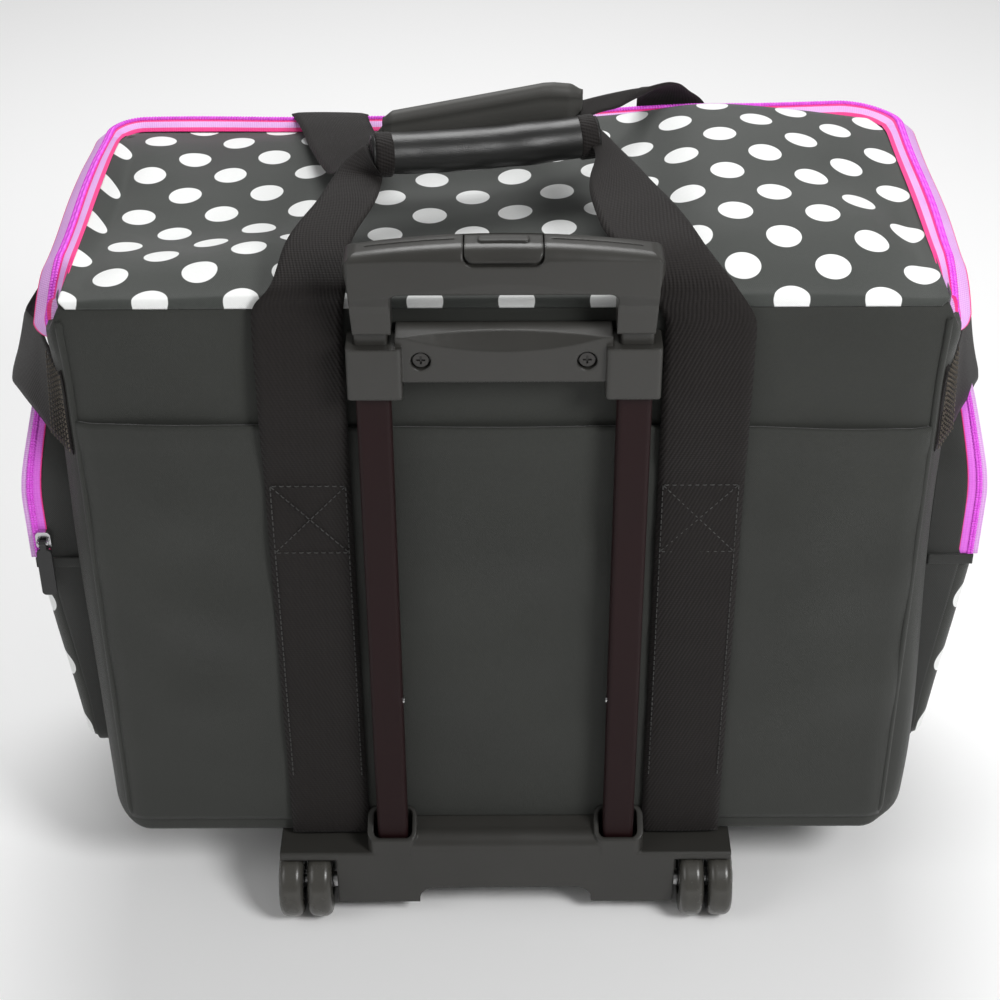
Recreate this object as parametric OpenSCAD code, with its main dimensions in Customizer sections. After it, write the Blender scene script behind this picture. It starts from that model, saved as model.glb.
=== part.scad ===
// Rolling sewing machine bag: soft case with a hinged lid, zipped side and front
// pockets, carry handles and a three-stage trolley on twin wheels.
// Millimetres. +Z up, -Y is the trolley side, +X right, floor at z = 0.

/* [Bag body] */
// Width of the body
body_w = 510; // [460:1:580]
// Depth of the body, trolley side to front
body_d = 258; // [245:1:320]
// Height of the body from its bottom to the rim
body_h = 388; // [370:1:440]
// Radius of the upright corners and of the lower side edges
corner_r = 24; // [20:1:28]
// Thickness of the foam-padded panels
panel_t = 6; // [4:0.5:8]
// Thickness of the lining
lining_t = 1.2; // [0.8:0.1:2]
// Thickness of the board inside the back panel
back_board_t = 3; // [2:0.5:4]
// Thickness of the board on the bottom
base_board_t = 6; // [4:0.5:9]
// Gap between soft layers that lie against each other
layer_gap = 0.3; // [0.2:0.1:0.5]

/* [Lid] */
// Height of the lid's edge band
lid_edge = 3; // [2:0.5:4]
// Rise of the lid's cloth between the carry straps
lid_rise_mid = 4; // [2:0.5:4.5]
// Rise of the lid's cloth on the left
lid_rise_left = 8; // [4:0.5:12]
// Rise of the lid's cloth on the right
lid_rise_right = 17; // [6:0.5:19]

/* [Zip fasteners] */
// Width of each zip tape that shows beside the teeth
tape_w = 8; // [5:0.5:9]
// Thickness of a zip tape with its half of the teeth
tape_t = 1.5; // [1:0.1:2.2]
// Length of the tail of tape at each back corner of the rim
tape_tail = 30; // [15:1:40]
// Length of a slider along its zip
slider_l = 12; // [9:0.5:16]
// Width of a slider across its zip
slider_w = 9; // [7:0.5:11]
// Thickness of a slider's body
slider_t = 4; // [3:0.5:5]
// Radius of the pin that carries a pull
pull_pin_r = 0.8; // [0.6:0.1:1.1]
// Length of a pull below its pin
pull_l = 38; // [25:1:45]
// Width of a pull
pull_w = 9; // [6.5:0.5:11]
// Thickness of a pull
pull_t = 2; // [1.2:0.1:2.4]

/* [Pockets] */
// Width of a side pocket
side_pocket_w = 214; // [160:1:220]
// Height of a side pocket's bottom above the bag's bottom
side_pocket_z = 56; // [40:1:80]
// Height of a side pocket
side_pocket_h = 247; // [200:1:260]
// Height of the flap of a side pocket
side_flap_h = 97; // [70:1:120]
// Width of the front pocket
front_pocket_w = 400; // [300:1:430]
// Height of the front pocket's bottom above the bag's bottom
front_pocket_z = 22; // [10:1:40]
// Height of the front pocket
front_pocket_h = 186; // [150:1:200]
// Height of the flap of the front pocket
front_flap_h = 96; // [70:1:110]
// Depth of a pocket at its sides
pocket_t = 30; // [22:1:36]
// Further bulge of a pocket's outer face at its middle
pocket_bulge = 6; // [3:1:10]
// How much shallower a side pocket is at its bottom than at its flap
pocket_lean = 19; // [0:1:20]
// Thickness of a pocket's walls
pocket_wall = 2.2; // [1.5:0.1:3]
// Depth at which a pocket's zip divides it
zip_depth = 26; // [20:0.5:27]
// Height of the open slip pocket on the back
slip_h = 312; // [240:1:340]

/* [Straps and handles] */
// Width of the webbing
strap_w = 50; // [38:1:52]
// Thickness of the webbing
strap_t = 2.4; // [1.5:0.1:3]
// Distance of each strap's middle from the bag's middle
strap_x = 113; // [110:1:125]
// Height of the top of the cross-stitched box above the bag's bottom
box_x_top = 276; // [240:1:300]
// Radius of the padded grip
grip_r = 13; // [10:0.5:15]
// Height of the grip's middle above the rim
grip_rise = 46; // [40:1:55]
// Height of a side handle's sewn ends above the side pocket's top
side_handle_up = 21; // [18:1:25]
// How far a side handle stands out from the side
side_handle_out = 53.5; // [48:0.5:58]
// How far a side handle's middle hangs below its ends
side_handle_droop = 50; // [40:1:60]

/* [Trolley tubes] */
// Distance of each tube's middle from the bag's middle
tube_x = 72.3; // [70:0.1:73]
// Width of the outer tube
tube_w = 19.4; // [18.5:0.1:20]
// Depth of the outer tube
tube_d = 13; // [12:0.5:14]
// Wall of each tube
tube_wall = 1; // [0.8:0.1:1.2]
// Gap between one tube and the next, each side
tube_gap = 0.35; // [0.3:0.05:0.5]
// Space between the back panel and the outer tube
tube_off = 5; // [5:0.5:6]
// Travel of each of the two sliding stages
stage_travel = 270; // [200:5:280]

/* [Trolley handle] */
// Height of the bar at its middle
bar_h = 27.5; // [26:0.5:34]
// Half of the bar's length
bar_half = 85.4; // [85:0.1:86.5]
// Width of each leg of the handle
leg_w = 21.6; // [21:0.1:23.8]
// Height of the window under the bar
window_h = 27; // [24:1:34]
// How far the bar's front stands out from the back panel
bar_front = 29; // [27:0.5:32]
// Half of the button's length
button_half = 20.8; // [14:0.1:22]
// Travel of the button
button_travel = 2; // [2:0.5:3.5]

/* [Trolley bracket] */
// Width of the sleeve round each tube's top
sleeve_w = 30.5; // [29:0.5:31]
// Height of the sleeves
sleeve_h = 31.5; // [26:0.5:36]
// How far the sleeves stand out from the back panel
sleeve_front = 24; // [23:0.5:26]
// Depth of the sleeves' top below the rim
sleeve_drop = 13.5; // [12:0.5:18]
// Height of the plate between the sleeves
plate_h = 28; // [22:0.5:32]
// How far the plate stands out from the back panel
plate_front = 20; // [17:0.5:22]
// Distance of each screw from the middle
bracket_screw_x = 45.3; // [38:0.1:48]

/* [Base and wheels] */
// Half of the base's width
base_half = 145.5; // [144:0.5:152]
// How far the base stands out from the back panel
base_front = 22; // [21.5:0.5:24]
// How far the base reaches under the bag
base_under = 48; // [36:1:70]
// Thickness of the base's shelf
shelf_t = 5.5; // [4:0.5:6]
// Depth of the two legs below the bag's bottom
leg_drop = 42.8; // [38:0.2:44]
// Diameter of a wheel
wheel_d = 49; // [44:0.5:50]
// Width of a wheel
wheel_w = 15.6; // [13:0.1:15.8]
// Space between neighbouring wheels
wheel_gap = 2.8; // [1.5:0.1:3]
// Radius of a wheel's axle
axle_r = 3; // [2.5:0.1:4]
// Running clearance of a wheel on its axle
axle_fit = 0.05; // [0.02:0.01:0.1]
// Depth of the axle below the bag's bottom
axle_drop = 31.5; // [31.5:0.1:34]
// How far the axle stands behind the back panel
axle_off = 11.5; // [6:0.5:12]
// Distance of each front foot from the bag's middle
foot_x = 185; // [120:1:195]

/* [Hidden] */
$fn = 64;

// Colours
cloth_c = [0.17, 0.18, 0.17];
webbing_c = [0.12, 0.12, 0.12];
dotted_c = [0.24, 0.25, 0.24];
pink_c = [0.93, 0.2, 0.72];
plastic_c = [0.2, 0.2, 0.19];
tube_c = [0.15, 0.09, 0.1];
steel_c = [0.7, 0.7, 0.7];
board_c = [0.5, 0.42, 0.32];
rubber_c = [0.24, 0.24, 0.23];

// Heights
wheel_r = wheel_d / 2;
lift = axle_drop + wheel_r;
rim_z = lift + body_h;
sleeve_top = body_h - sleeve_drop;
plate_top = sleeve_top + 5.5;
neck_top = sleeve_top + 8;
handle_foot = neck_top + 0.5;
bar_under = handle_foot + window_h;
bar_top = bar_under + bar_h;

// Depths
half_w = body_w / 2;
half_d = body_d / 2;
seam_x = half_w - corner_r;
slip_t = 1.2;
strap_in = strap_x - strap_w / 2;
strap_out = strap_x + strap_w / 2;
tube_mid = tube_off + tube_d / 2;
strap_off = strap_t + 2 * layer_gap;
pocket_out = pocket_t + pocket_bulge;
flap_tape = tape_w / 2 - 0.5;
front_pocket_off = strap_off;
back_reach = half_d + max(axle_off + wheel_r, bar_front);
front_reach = half_d + front_pocket_off + pocket_out;
y_shift = (back_reach - front_reach) / 2;

// Tube sections, from the outside in
mid_w = tube_w - 2 * (tube_wall + tube_gap);
mid_d = tube_d - 2 * (tube_wall + tube_gap);
inner_w = mid_w - 2 * (tube_wall + tube_gap);
inner_d = mid_d - 2 * (tube_wall + tube_gap);
tube_foot = -leg_drop + 5;
tube_top = sleeve_top - 6;
mid_top = neck_top - 6;
inner_top = handle_foot + 18;
// Each stage still reaches this far into the next at full travel
stage_overlap = 128;
mid_foot = mid_top - stage_travel - stage_overlap;
inner_foot = inner_top - stage_travel - stage_overlap;

// Distances out from the back panel and from the front panel
function ye(e) = -half_d - e;
function yf(e) = half_d + e;
// Height above the bag's bottom
function zb(h) = lift + h;

// Rounded rectangle about the origin
module rrect(w, d, r) {
    square([w - 2 * r, d], center = true);
    square([w, d - 2 * r], center = true);
    for (sx = [-1, 1], sy = [-1, 1])
        translate([sx * (w / 2 - r), sy * (d / 2 - r)]) circle(r);
}

// Prism along X from x0 to x1 of a profile drawn in Y and Z
module along_x(x0, x1) {
    translate([x0, 0, 0]) rotate([90, 0, 90]) linear_extrude(x1 - x0) children();
}

// Prism along Y from y0 to y1 of a profile drawn in X and Z
module along_y(y0, y1) {
    translate([0, y1, 0]) rotate([90, 0, 0]) linear_extrude(y1 - y0) children();
}

// Block given by its two corners
module block(a, b) {
    translate(a) cube(b - a);
}

// Two copies, at +x and mirrored at -x
module pair() {
    children();
    mirror([1, 0, 0]) children();
}

// Upright with a rectangular section, centred at a tube's place
module stile(w, d, h0, h1, r) {
    translate([tube_x, ye(tube_mid), zb(h0)])
        linear_extrude(h1 - h0) rrect(w, d, r);
}

// Solid of the body, grown outwards, up to height h above the bag's bottom
module body_block(grow, h) {
    r = corner_r + grow;
    w = body_w + 2 * grow;
    intersection() {
        translate([0, 0, zb(-grow)]) linear_extrude(h + grow)
            rrect(w, body_d + 2 * grow, r);
        along_y(ye(grow + 1), yf(grow + 1)) union() {
            translate([-w / 2, zb(r - grow)]) square([w, h]);
            translate([-w / 2 + r, zb(-grow)]) square([w - 2 * r, h]);
            for (s = [-1, 1]) translate([s * (w / 2 - r), zb(r - grow)]) circle(r);
        }
    }
}

module body_shell() {
    difference() {
        body_block(0, body_h);
        body_block(-panel_t, body_h + 1);
    }
}

module back_panel() {
    color(cloth_c) difference() {
        block([-seam_x, ye(0), lift], [seam_x, ye(-panel_t), rim_z]);
        bracket_holes(screw_r + 0.3);
    }
}

module front_panel() {
    color(cloth_c) block([-seam_x, yf(-panel_t), lift], [seam_x, yf(0), rim_z]);
}

module bottom_panel() {
    color(cloth_c) difference() {
        block([-seam_x, ye(-panel_t), lift], [seam_x, yf(-panel_t), zb(panel_t)]);
        base_holes(screw_r + 0.3);
    }
}

// Side panel with both rounded corners and the rounded lower edge
module side_panel(s) {
    color(cloth_c) intersection() {
        body_shell();
        translate([s > 0 ? seam_x : -half_w - 1, ye(1), 0])
            cube([corner_r + 1, body_d + 2, rim_z + 1]);
    }
}

// Lining: an open tub inside the panels and in front of the back board
lining_top = body_h - 4;
lining_in = panel_t + layer_gap;
lining_back = lining_in + back_board_t + layer_gap;
module lining_block(extra, h) {
    intersection() {
        body_block(-lining_in - extra, h);
        block([-half_w, ye(-lining_back - extra), 0], [half_w, yf(0), zb(h + 1)]);
    }
}

module lining() {
    color([0.35, 0.35, 0.36]) difference() {
        lining_block(0, lining_top);
        lining_block(lining_t, lining_top + 1);
    }
}

module back_board() {
    color(board_c) difference() {
        block([-seam_x + 4, ye(-panel_t), zb(panel_t + 2)],
            [seam_x - 4, ye(-panel_t - back_board_t), rim_z - 12]);
        bracket_holes(screw_r + 0.3);
    }
}

board_h0 = panel_t + layer_gap + lining_t;
board_half_w = seam_x - corner_r / 2;
board_half_d = half_d - lining_back - 12;
module base_board() {
    color(board_c) translate([0, 0, zb(board_h0)]) linear_extrude(base_board_t)
        rrect(2 * board_half_w, 2 * board_half_d, 12);
}

// Two webbing straps over the base board, each with a buckle
tie_w = 38;
tie_x = 110;
buckle_w = tie_w + 10;
buckle_l = tie_w + 24;
buckle_t = 8;
module tie_down_straps() {
    h0 = board_h0 + base_board_t;
    color(webbing_c) for (s = [-1, 1])
        block([s * tie_x - tie_w / 2, -board_half_d, zb(h0)],
            [s * tie_x + tie_w / 2, board_half_d, zb(h0 + strap_t)]);
}

module tie_down_buckles() {
    h0 = board_h0 + base_board_t + strap_t;
    color(plastic_c) for (s = [-1, 1]) translate([s * tie_x, 0, zb(h0)])
        difference() {
            linear_extrude(buckle_t) rrect(buckle_w, buckle_l, buckle_t - 1);
            for (t = [-1, 1]) translate([0, t * (buckle_l - buckle_t * 2) / 2, -1])
                linear_extrude(buckle_t + 2) rrect(tie_w + 2, buckle_t / 2, 1.5);
            translate([0, 0, buckle_t * 0.6]) linear_extrude(buckle_t / 2)
                rrect(tie_w - 4, tie_w - 14, buckle_t / 2);
        }
}

// Open pocket on the back, a single cloth with a folded hem
module slip_pocket() {
    hem = 22;
    y0 = -layer_gap / 2;
    color(cloth_c) union() {
        block([-seam_x, ye(layer_gap + slip_t), zb(corner_r / 2)],
            [seam_x, ye(layer_gap), zb(slip_h)]);
        block([-seam_x, ye(layer_gap + 2), zb(slip_h - hem)],
            [seam_x, ye(layer_gap + slip_t + y0), zb(slip_h)]);
    }
}

// Swept ribbon: each ring holds its two edge points, and the tape's
// thickness lies along the normal of the strip at that ring.
function unit(v) = v / norm(v);
function ring_normal(rings, i) =
    let (a = rings[max(i - 1, 0)], b = rings[min(i + 1, len(rings) - 1)],
        along = (b[0] + b[1]) / 2 - (a[0] + a[1]) / 2,
        across = rings[i][1] - rings[i][0])
    unit(cross(along, across));
module ribbon(rings, t) {
    n = len(rings);
    pts = [for (i = [0:n - 1]) let (v = ring_normal(rings, i) * t / 2)
        each [rings[i][0] - v, rings[i][1] - v, rings[i][1] + v, rings[i][0] + v]];
    faces = [
        [0, 1, 2], [0, 2, 3],
        // both broad faces are split along the same diagonal
        for (i = [0:n - 2], k = [0:3]) let (a = 4 * i + k, b = 4 * i + (k + 1) % 4)
            each k == 2 ? [[a, a + 4, b], [b, a + 4, b + 4]]
                : [[a, a + 4, b + 4], [a, b + 4, b]],
        [4 * n - 4, 4 * n - 2, 4 * n - 3], [4 * n - 4, 4 * n - 1, 4 * n - 2]
    ];
    polyhedron(pts, faces);
}

// Straight ring of a strap that hangs level, at x, y and height above the bottom
function level_ring(s, y, h) = [
    [s * (strap_x + s * strap_w / 2), y, zb(h)],
    [s * (strap_x - s * strap_w / 2), y, zb(h)]];
function back_ring(s, e, h) = level_ring(s, ye(e), h);
function front_ring(s, e, h) = level_ring(s, yf(e), h);

// Rounded end of a fixed strap, about the fold where its moving half begins
strap_fold = strap_t / 2 + 0.3;
module strap_end(s, y) {
    translate([s * strap_x - strap_w / 2, y, rim_z]) rotate([0, 90, 0])
        cylinder(h = strap_w, r = strap_t / 2);
}

// Sewn lower strap and its free length up to the rim, on the back
back_lay = layer_gap * 2 + 2 + strap_t / 2;
module back_straps() {
    color(webbing_c) for (s = [-1, 1]) {
        strap_end(s, ye(back_lay));
        ribbon([
            back_ring(s, back_lay, 0),
            back_ring(s, back_lay, box_x_top),
            back_ring(s, back_lay + 3, box_x_top + 24),
            back_ring(s, back_lay + 5, box_x_top + 54),
            back_ring(s, back_lay + 3, body_h - 26),
            back_ring(s, back_lay, body_h)], strap_t);
    }
}

// The same on the front, standing off at the rim so that a slider passes under
front_lay = layer_gap + strap_t / 2;
rim_stand_off = tape_t + slider_t + pull_t + 6;
module front_straps() {
    color(webbing_c) for (s = [-1, 1]) {
        strap_end(s, yf(rim_stand_off));
        ribbon([
            front_ring(s, front_lay, 0),
            front_ring(s, front_lay, box_x_top),
            front_ring(s, front_lay + 5, box_x_top + 34),
            front_ring(s, rim_stand_off - 1, body_h - 42),
            front_ring(s, rim_stand_off + 1, body_h - 18),
            front_ring(s, rim_stand_off, body_h)], strap_t);
    }
}

// Band round the rim on three sides, from inset a to inset b of the outline
module rim_band(a, b, h0, h1) {
    difference() {
        translate([0, 0, zb(h0)]) linear_extrude(h1 - h0)
            rrect(body_w + 2 * b, body_d + 2 * b, corner_r + b);
        translate([0, 0, zb(h0) - 1]) linear_extrude(h1 - h0 + 2)
            rrect(body_w + 2 * a, body_d + 2 * a, corner_r + a);
        block([-half_w - 9, ye(9), zb(h0) - 1],
            [half_w + 9, ye(-12), zb(h1) + 1]);
    }
}

// Body half of the rim's zip, with its tails down the back corners
module rim_zip_tape() {
    color(pink_c) union() {
        rim_band(layer_gap, layer_gap + tape_t, body_h - tape_w - 1, body_h - 0.5);
        intersection() {
            rim_band(layer_gap, layer_gap + tape_t, body_h - tape_tail, body_h - 0.5);
            block([-half_w - 9, ye(0), 0], [half_w + 9, ye(-20), rim_z]);
        }
    }
}

module lid_zip_tape() {
    color(pink_c) rim_band(-2, layer_gap + tape_t - 1, body_h + 0.4, body_h + tape_w - 1);
}

// Lid: cloth over foam, raised between the edge band and the straps
lid_inset = 2.2;
lid_nx = 26;
lid_ny = 12;
function lid_side_rise(u) = u > 0 ? lid_rise_right : lid_rise_left;
function lid_rise(u, v) =
    let (t = min(1, max(0, (abs(u) - 0.3) / 0.35)), s = t * t * (3 - 2 * t),
        crown = lid_rise_mid + (lid_side_rise(u) - lid_rise_mid) * s)
    crown * (1 - pow(abs(u), 9)) * (1 - pow(abs(v), 9));
// Half width of the lid at the depth v, with its rounded corners
function lid_half(v, w, d, r) =
    let (y = abs(v) * d / 2 - (d / 2 - r))
    w / 2 - r + (y > 0 ? sqrt(max(0, r * r - y * y)) : r);
module lid_panel() {
    w = body_w - 2 * lid_inset;
    d = body_d - 2 * lid_inset;
    r = corner_r - lid_inset;
    z0 = rim_z + 0.5;
    grid = [for (j = [0:lid_ny], i = [0:lid_nx])
        let (v = -cos(180 * j / lid_ny), u = -cos(180 * i / lid_nx))
        [u * lid_half(v, w, d, r), v * d / 2, lid_rise(u, v)]];
    m = lid_nx + 1;
    n = len(grid);
    edge = concat([for (i = [0:lid_nx]) i], [for (j = [1:lid_ny]) j * m + lid_nx],
        [for (i = [lid_nx - 1:-1:0]) lid_ny * m + i],
        [for (j = [lid_ny - 1:-1:1]) j * m]);
    k = len(edge);
    pts = concat([for (p = grid) [p[0], p[1], z0 + lid_edge + p[2]]],
        [for (p = grid) [p[0], p[1], z0]]);
    faces = concat(
        [for (j = [0:lid_ny - 1], i = [0:lid_nx - 1]) let (a = j * m + i)
            each [[a, a + m + 1, a + 1], [a, a + m, a + m + 1]]],
        [for (j = [0:lid_ny - 1], i = [0:lid_nx - 1]) let (a = n + j * m + i)
            each [[a, a + 1, a + m + 1], [a, a + m + 1, a + m]]],
        [for (q = [0:k - 1]) let (a = edge[q], b = edge[(q + 1) % k])
            each [[a, b, n + b], [a, n + b, n + a]]]);
    color(dotted_c) polyhedron(pts, faces);
}

module lid_lining() {
    inset = panel_t + 6;
    color([0.35, 0.35, 0.36]) translate([0, 0, zb(body_h - 3)]) linear_extrude(3.2)
        rrect(body_w - 2 * inset, body_d - 2 * inset, corner_r);
}

// Carry handles: webbing loops that meet over the lid. The grip lies a
// little askew, as it falls when the bag stands.
grip_a = [-74, -33, rim_z + grip_rise];
grip_b = [53, -7, rim_z + grip_rise];
grip_turn = atan2(grip_b[1] - grip_a[1], grip_b[0] - grip_a[0]);
grip_len = norm(grip_b - grip_a);
pad_t = 13;
pad_h = 32;
pad_shift = (grip_r + 0.8 + pad_t / 2 + 1) / cos(grip_turn);
pad_a = grip_a + [5, pad_shift + 1, 7];
pad_b = grip_b + [-7, pad_shift - 1.4, 7];

// Ring of a strap from its outer and its inner edge, measured from the rim
function rim_ring(xo, yo, ho, xi, yi, hi) =
    [[xo, yo, rim_z + ho], [xi, yi, rim_z + hi]];
// The straps' places over the lid shift with the straps' own place
dx = strap_x - 113;
dy = half_d - 129;
module back_handle_strap() {
    g = grip_r - 2;
    color(webbing_c) union() {
        ribbon([
            rim_ring(-strap_out, ye(back_lay), strap_fold,
                -strap_in, ye(back_lay), strap_fold),
            rim_ring(1 - strap_out, -127 - dy, 15, -strap_in, -127 - dy, 16),
            rim_ring(4 - strap_out, -110 - dy, 27, -strap_in, -106 - dy, 28),
            rim_ring(12 - strap_out, -80 - dy, 33, 1 - strap_in, -72 - dy, 35),
            rim_ring(-112 - dx, -56, 34, -84 - dx, -42, 42),
            rim_ring(-92, -42, grip_rise - g + 2, -83, -33, grip_rise + g),
            rim_ring(grip_a[0] - 0.4, grip_a[1], grip_rise - g,
                grip_a[0] - 0.4, grip_a[1], grip_rise + g)], strap_t);
        ribbon([
            rim_ring(strap_out, ye(back_lay), strap_fold,
                strap_in, ye(back_lay), strap_fold),
            rim_ring(strap_out - 1, -127 - dy, 16, strap_in, -127 - dy, 16),
            rim_ring(strap_out - 6, -104 - dy, 30, strap_in, -104 - dy, 30),
            rim_ring(strap_out - 16, -64, 36, 84 + dx, -72 - dy, 38),
            rim_ring(102 + dx, -32, 38, 72 + dx, -42, 44),
            rim_ring(76, -14, grip_rise - g + 2, 64, -18, grip_rise + g),
            rim_ring(grip_b[0] + 0.4, grip_b[1], grip_rise - g,
                grip_b[0] + 0.4, grip_b[1], grip_rise + g)], strap_t);
    }
}

module back_grip() {
    color([0.1, 0.1, 0.1]) translate(grip_a) rotate([0, 90, grip_turn]) union() {
        cylinder(h = grip_len, r = grip_r);
        cylinder(h = 15, r = grip_r + 0.8);
        translate([0, 0, grip_len - 11]) cylinder(h = 11, r = grip_r + 0.8);
    }
}

module front_handle_strap() {
    hinge = half_d + rim_stand_off;
    color(webbing_c) union() {
        ribbon([
            rim_ring(-strap_out, hinge, strap_fold,
                -strap_in, hinge, strap_fold),
            rim_ring(1 - strap_out, hinge - 8, 15, -strap_in, hinge - 7, 15),
            rim_ring(8 - strap_out, 104 + dy, 27, 2 - strap_in, 108 + dy, 24),
            rim_ring(-112 - dx, 62, 38, -82 - dx, 74, 30),
            rim_ring(-94 - dx, 22, 50, -84 - dx, 34, 38),
            rim_ring(pad_a[0] - 1.3, pad_a[1], grip_rise + 20,
                pad_a[0] - 1.3, pad_a[1], grip_rise - 5)], strap_t);
        ribbon([
            rim_ring(strap_out, hinge, strap_fold,
                strap_in, hinge, strap_fold),
            rim_ring(strap_out - 2, hinge - 8, 17, strap_in - 1, hinge - 8, 17),
            rim_ring(strap_out - 14, 102 + dy, 34, strap_in - 2, 106 + dy, 34),
            rim_ring(106 + dx, 66, 46, 78 + dx, 78, 42),
            rim_ring(80 + dx, 34, 55, 68 + dx, 44, 44),
            rim_ring(pad_b[0] + 1.3, pad_b[1], grip_rise + 20,
                pad_b[0] + 1.3, pad_b[1], grip_rise - 5)], strap_t);
    }
}

// Flat padded grip of the front strap, which leans against the round grip
module front_grip() {
    run = pad_b[0] - pad_a[0];
    color([0.15, 0.15, 0.15]) translate(pad_a)
        multmatrix([[1, 0, 0, 0], [(pad_b[1] - pad_a[1]) / run, 1, 0, 0],
            [(pad_b[2] - pad_a[2]) / run, 0, 1, 0], [0, 0, 0, 1]])
        rotate([0, 90, 0]) linear_extrude(run) rrect(pad_h, pad_t, 5.5);
}

// Side handle: a loose loop of webbing sewn in at the two rounded corners
side_root_r = corner_r + strap_t / 2 + 0.3;
side_root = [seam_x + side_root_r * cos(50), half_d - corner_r + side_root_r * sin(50)];
side_reach = half_w + strap_t / 2 + side_handle_out - side_root[0];
side_lean = 6;
function side_point(s, k, e) =
    let (a = 90 * k)
    [s * (side_root[0] + (side_reach - e * side_lean) * cos(a)), side_root[1] * sin(a),
        zb(side_pocket_z + side_pocket_h + side_handle_up
            - side_handle_droop * cos(a) * cos(a)
            + e * strap_w / 2 * (1 - 0.1 * cos(a)))];
module side_handle(s) {
    steps = 12;
    color(webbing_c) ribbon([for (i = [-steps:steps])
        [side_point(s, i / steps, 1), side_point(s, i / steps, -1)]], strap_t);
}

// Pockets are drawn lying against the plane y = 0, bulging towards +y
module pocket_block(w, h, grow) {
    out = pocket_out + grow;
    hw = w / 2 + grow;
    bow = (w * w / 4 + pocket_bulge * pocket_bulge) / (2 * pocket_bulge) + grow;
    r_side = 12 + grow;
    r_top = 42 + grow;
    intersection() {
        // seen from above
        translate([0, 0, -grow]) linear_extrude(h + 2 * grow) intersection() {
            translate([0, (out - 40) / 2]) rrect(2 * hw, out + 40, r_side);
            translate([0, out - bow]) circle(bow, $fn = 256);
            translate([-hw, 0]) square([2 * hw, out]);
        }
        // seen from the side
        along_x(-hw, hw) union() {
            translate([-9, r_side - grow]) square([9 + out, h - pocket_out - r_side + grow]);
            translate([-9, -grow]) square([9 + out - r_side, h - pocket_out + grow]);
            translate([out - r_side, r_side - grow]) circle(r_side);
            intersection() {
                translate([0, h - pocket_out]) circle(out);
                translate([-9, h - pocket_out - 1]) square([out + 20, out + 2]);
            }
            translate([-9, h - pocket_out - 1]) square([9.01, out + 1]);
        }
        // seen from the front
        along_y(0, out) union() {
            translate([-hw, r_side - grow]) square([2 * hw, h - 42 - r_side + grow]);
            translate([-hw + r_side, -grow]) square([2 * (hw - r_side), 2 * r_side]);
            translate([-hw + r_top, h / 2]) square([2 * (hw - r_top), h / 2 + grow]);
            for (s = [-1, 1]) {
                translate([s * (hw - r_side), r_side - grow]) circle(r_side);
                translate([s * (hw - r_top), h - 42]) circle(r_top);
            }
        }
    }
}

// The same with its outer face leaning in below the flap
module pocket_wedge(w, h, flap_h, lean, grow) {
    out = pocket_out + grow;
    intersection() {
        pocket_block(w, h, grow);
        along_x(-w, w) polygon([
            [-10, -10], [out - lean, -10], [out - lean, 0],
            [out, h - flap_h], [out, 2 * h], [-10, 2 * h]]);
    }
}

// Space of the flap: beyond the zip's depth and above the flap's lower edge
module flap_space(w, h, flap_h, gap) {
    block([-w, zip_depth - gap, h - flap_h - gap], [w, 2 * pocket_out, 2 * h]);
}

module pocket_body(w, h, flap_h, lean) {
    color(cloth_c) difference() {
        pocket_wedge(w, h, flap_h, lean, 0);
        translate([0, -0.01, 0]) pocket_wedge(w, h, flap_h, lean, -pocket_wall);
        flap_space(w, h, flap_h, layer_gap);
    }
}

// Strip of tape round the pocket between depths a and b, above the flap's foot
module pocket_tape(w, h, flap_h, a, b) {
    intersection() {
        difference() {
            pocket_block(w, h, tape_t);
            pocket_block(w, h, 0.1);
        }
        block([-w, a, h - flap_h + 1], [w, b, 2 * h]);
    }
}

module pocket_zip(w, h, flap_h) {
    color(pink_c)
        pocket_tape(w, h, flap_h, zip_depth - tape_w, zip_depth - layer_gap - 0.1);
}

module pocket_flap(w, h, flap_h) {
    color(dotted_c) union() {
        intersection() {
            difference() {
                pocket_block(w, h, 0);
                pocket_block(w, h, -pocket_wall);
            }
            flap_space(w, h, flap_h, -layer_gap / 3);
        }
        intersection() {
            difference() {
                pocket_block(w, h, tape_t);
                pocket_block(w, h, -pocket_wall / 2);
            }
            block([-w, zip_depth + 0.3, h - flap_h + 1], [w, zip_depth + flap_tape, 2 * h]);
        }
    }
}

// Places of the three pockets
module on_left() {
    translate([-half_w, 0, zb(side_pocket_z)]) rotate(90) children();
}
module on_right() {
    translate([half_w, 0, zb(side_pocket_z)]) rotate(-90) children();
}
module on_front() {
    translate([0, yf(front_pocket_off), zb(front_pocket_z)]) children();
}

// Zip slider with two ears and a pin. x runs along the pin, +y points out of
// the tape, and the body is l long by w wide.
ear_out = slider_t + 3.4;
pin_out = slider_t + 2.2;
module zip_slider(wx, hz) {
    ear = 1.1;
    gap_x = 4.4;
    color(steel_c) union() {
        along_y(layer_gap, slider_t) rrect(wx, hz, 3);
        for (s = [-1, 1]) translate([s * (gap_x + ear) / 2, 0, 0])
            along_x(-ear / 2, ear / 2) union() {
                translate([slider_t - 0.5, -1.4]) square([pin_out - slider_t + 0.5, 2.8]);
                translate([pin_out, 0]) circle(1.4);
            }
        translate([-gap_x / 2 - ear, pin_out, 0]) rotate([0, 90, 0])
            cylinder(h = gap_x + 2 * ear, r = pull_pin_r);
    }
}

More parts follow.
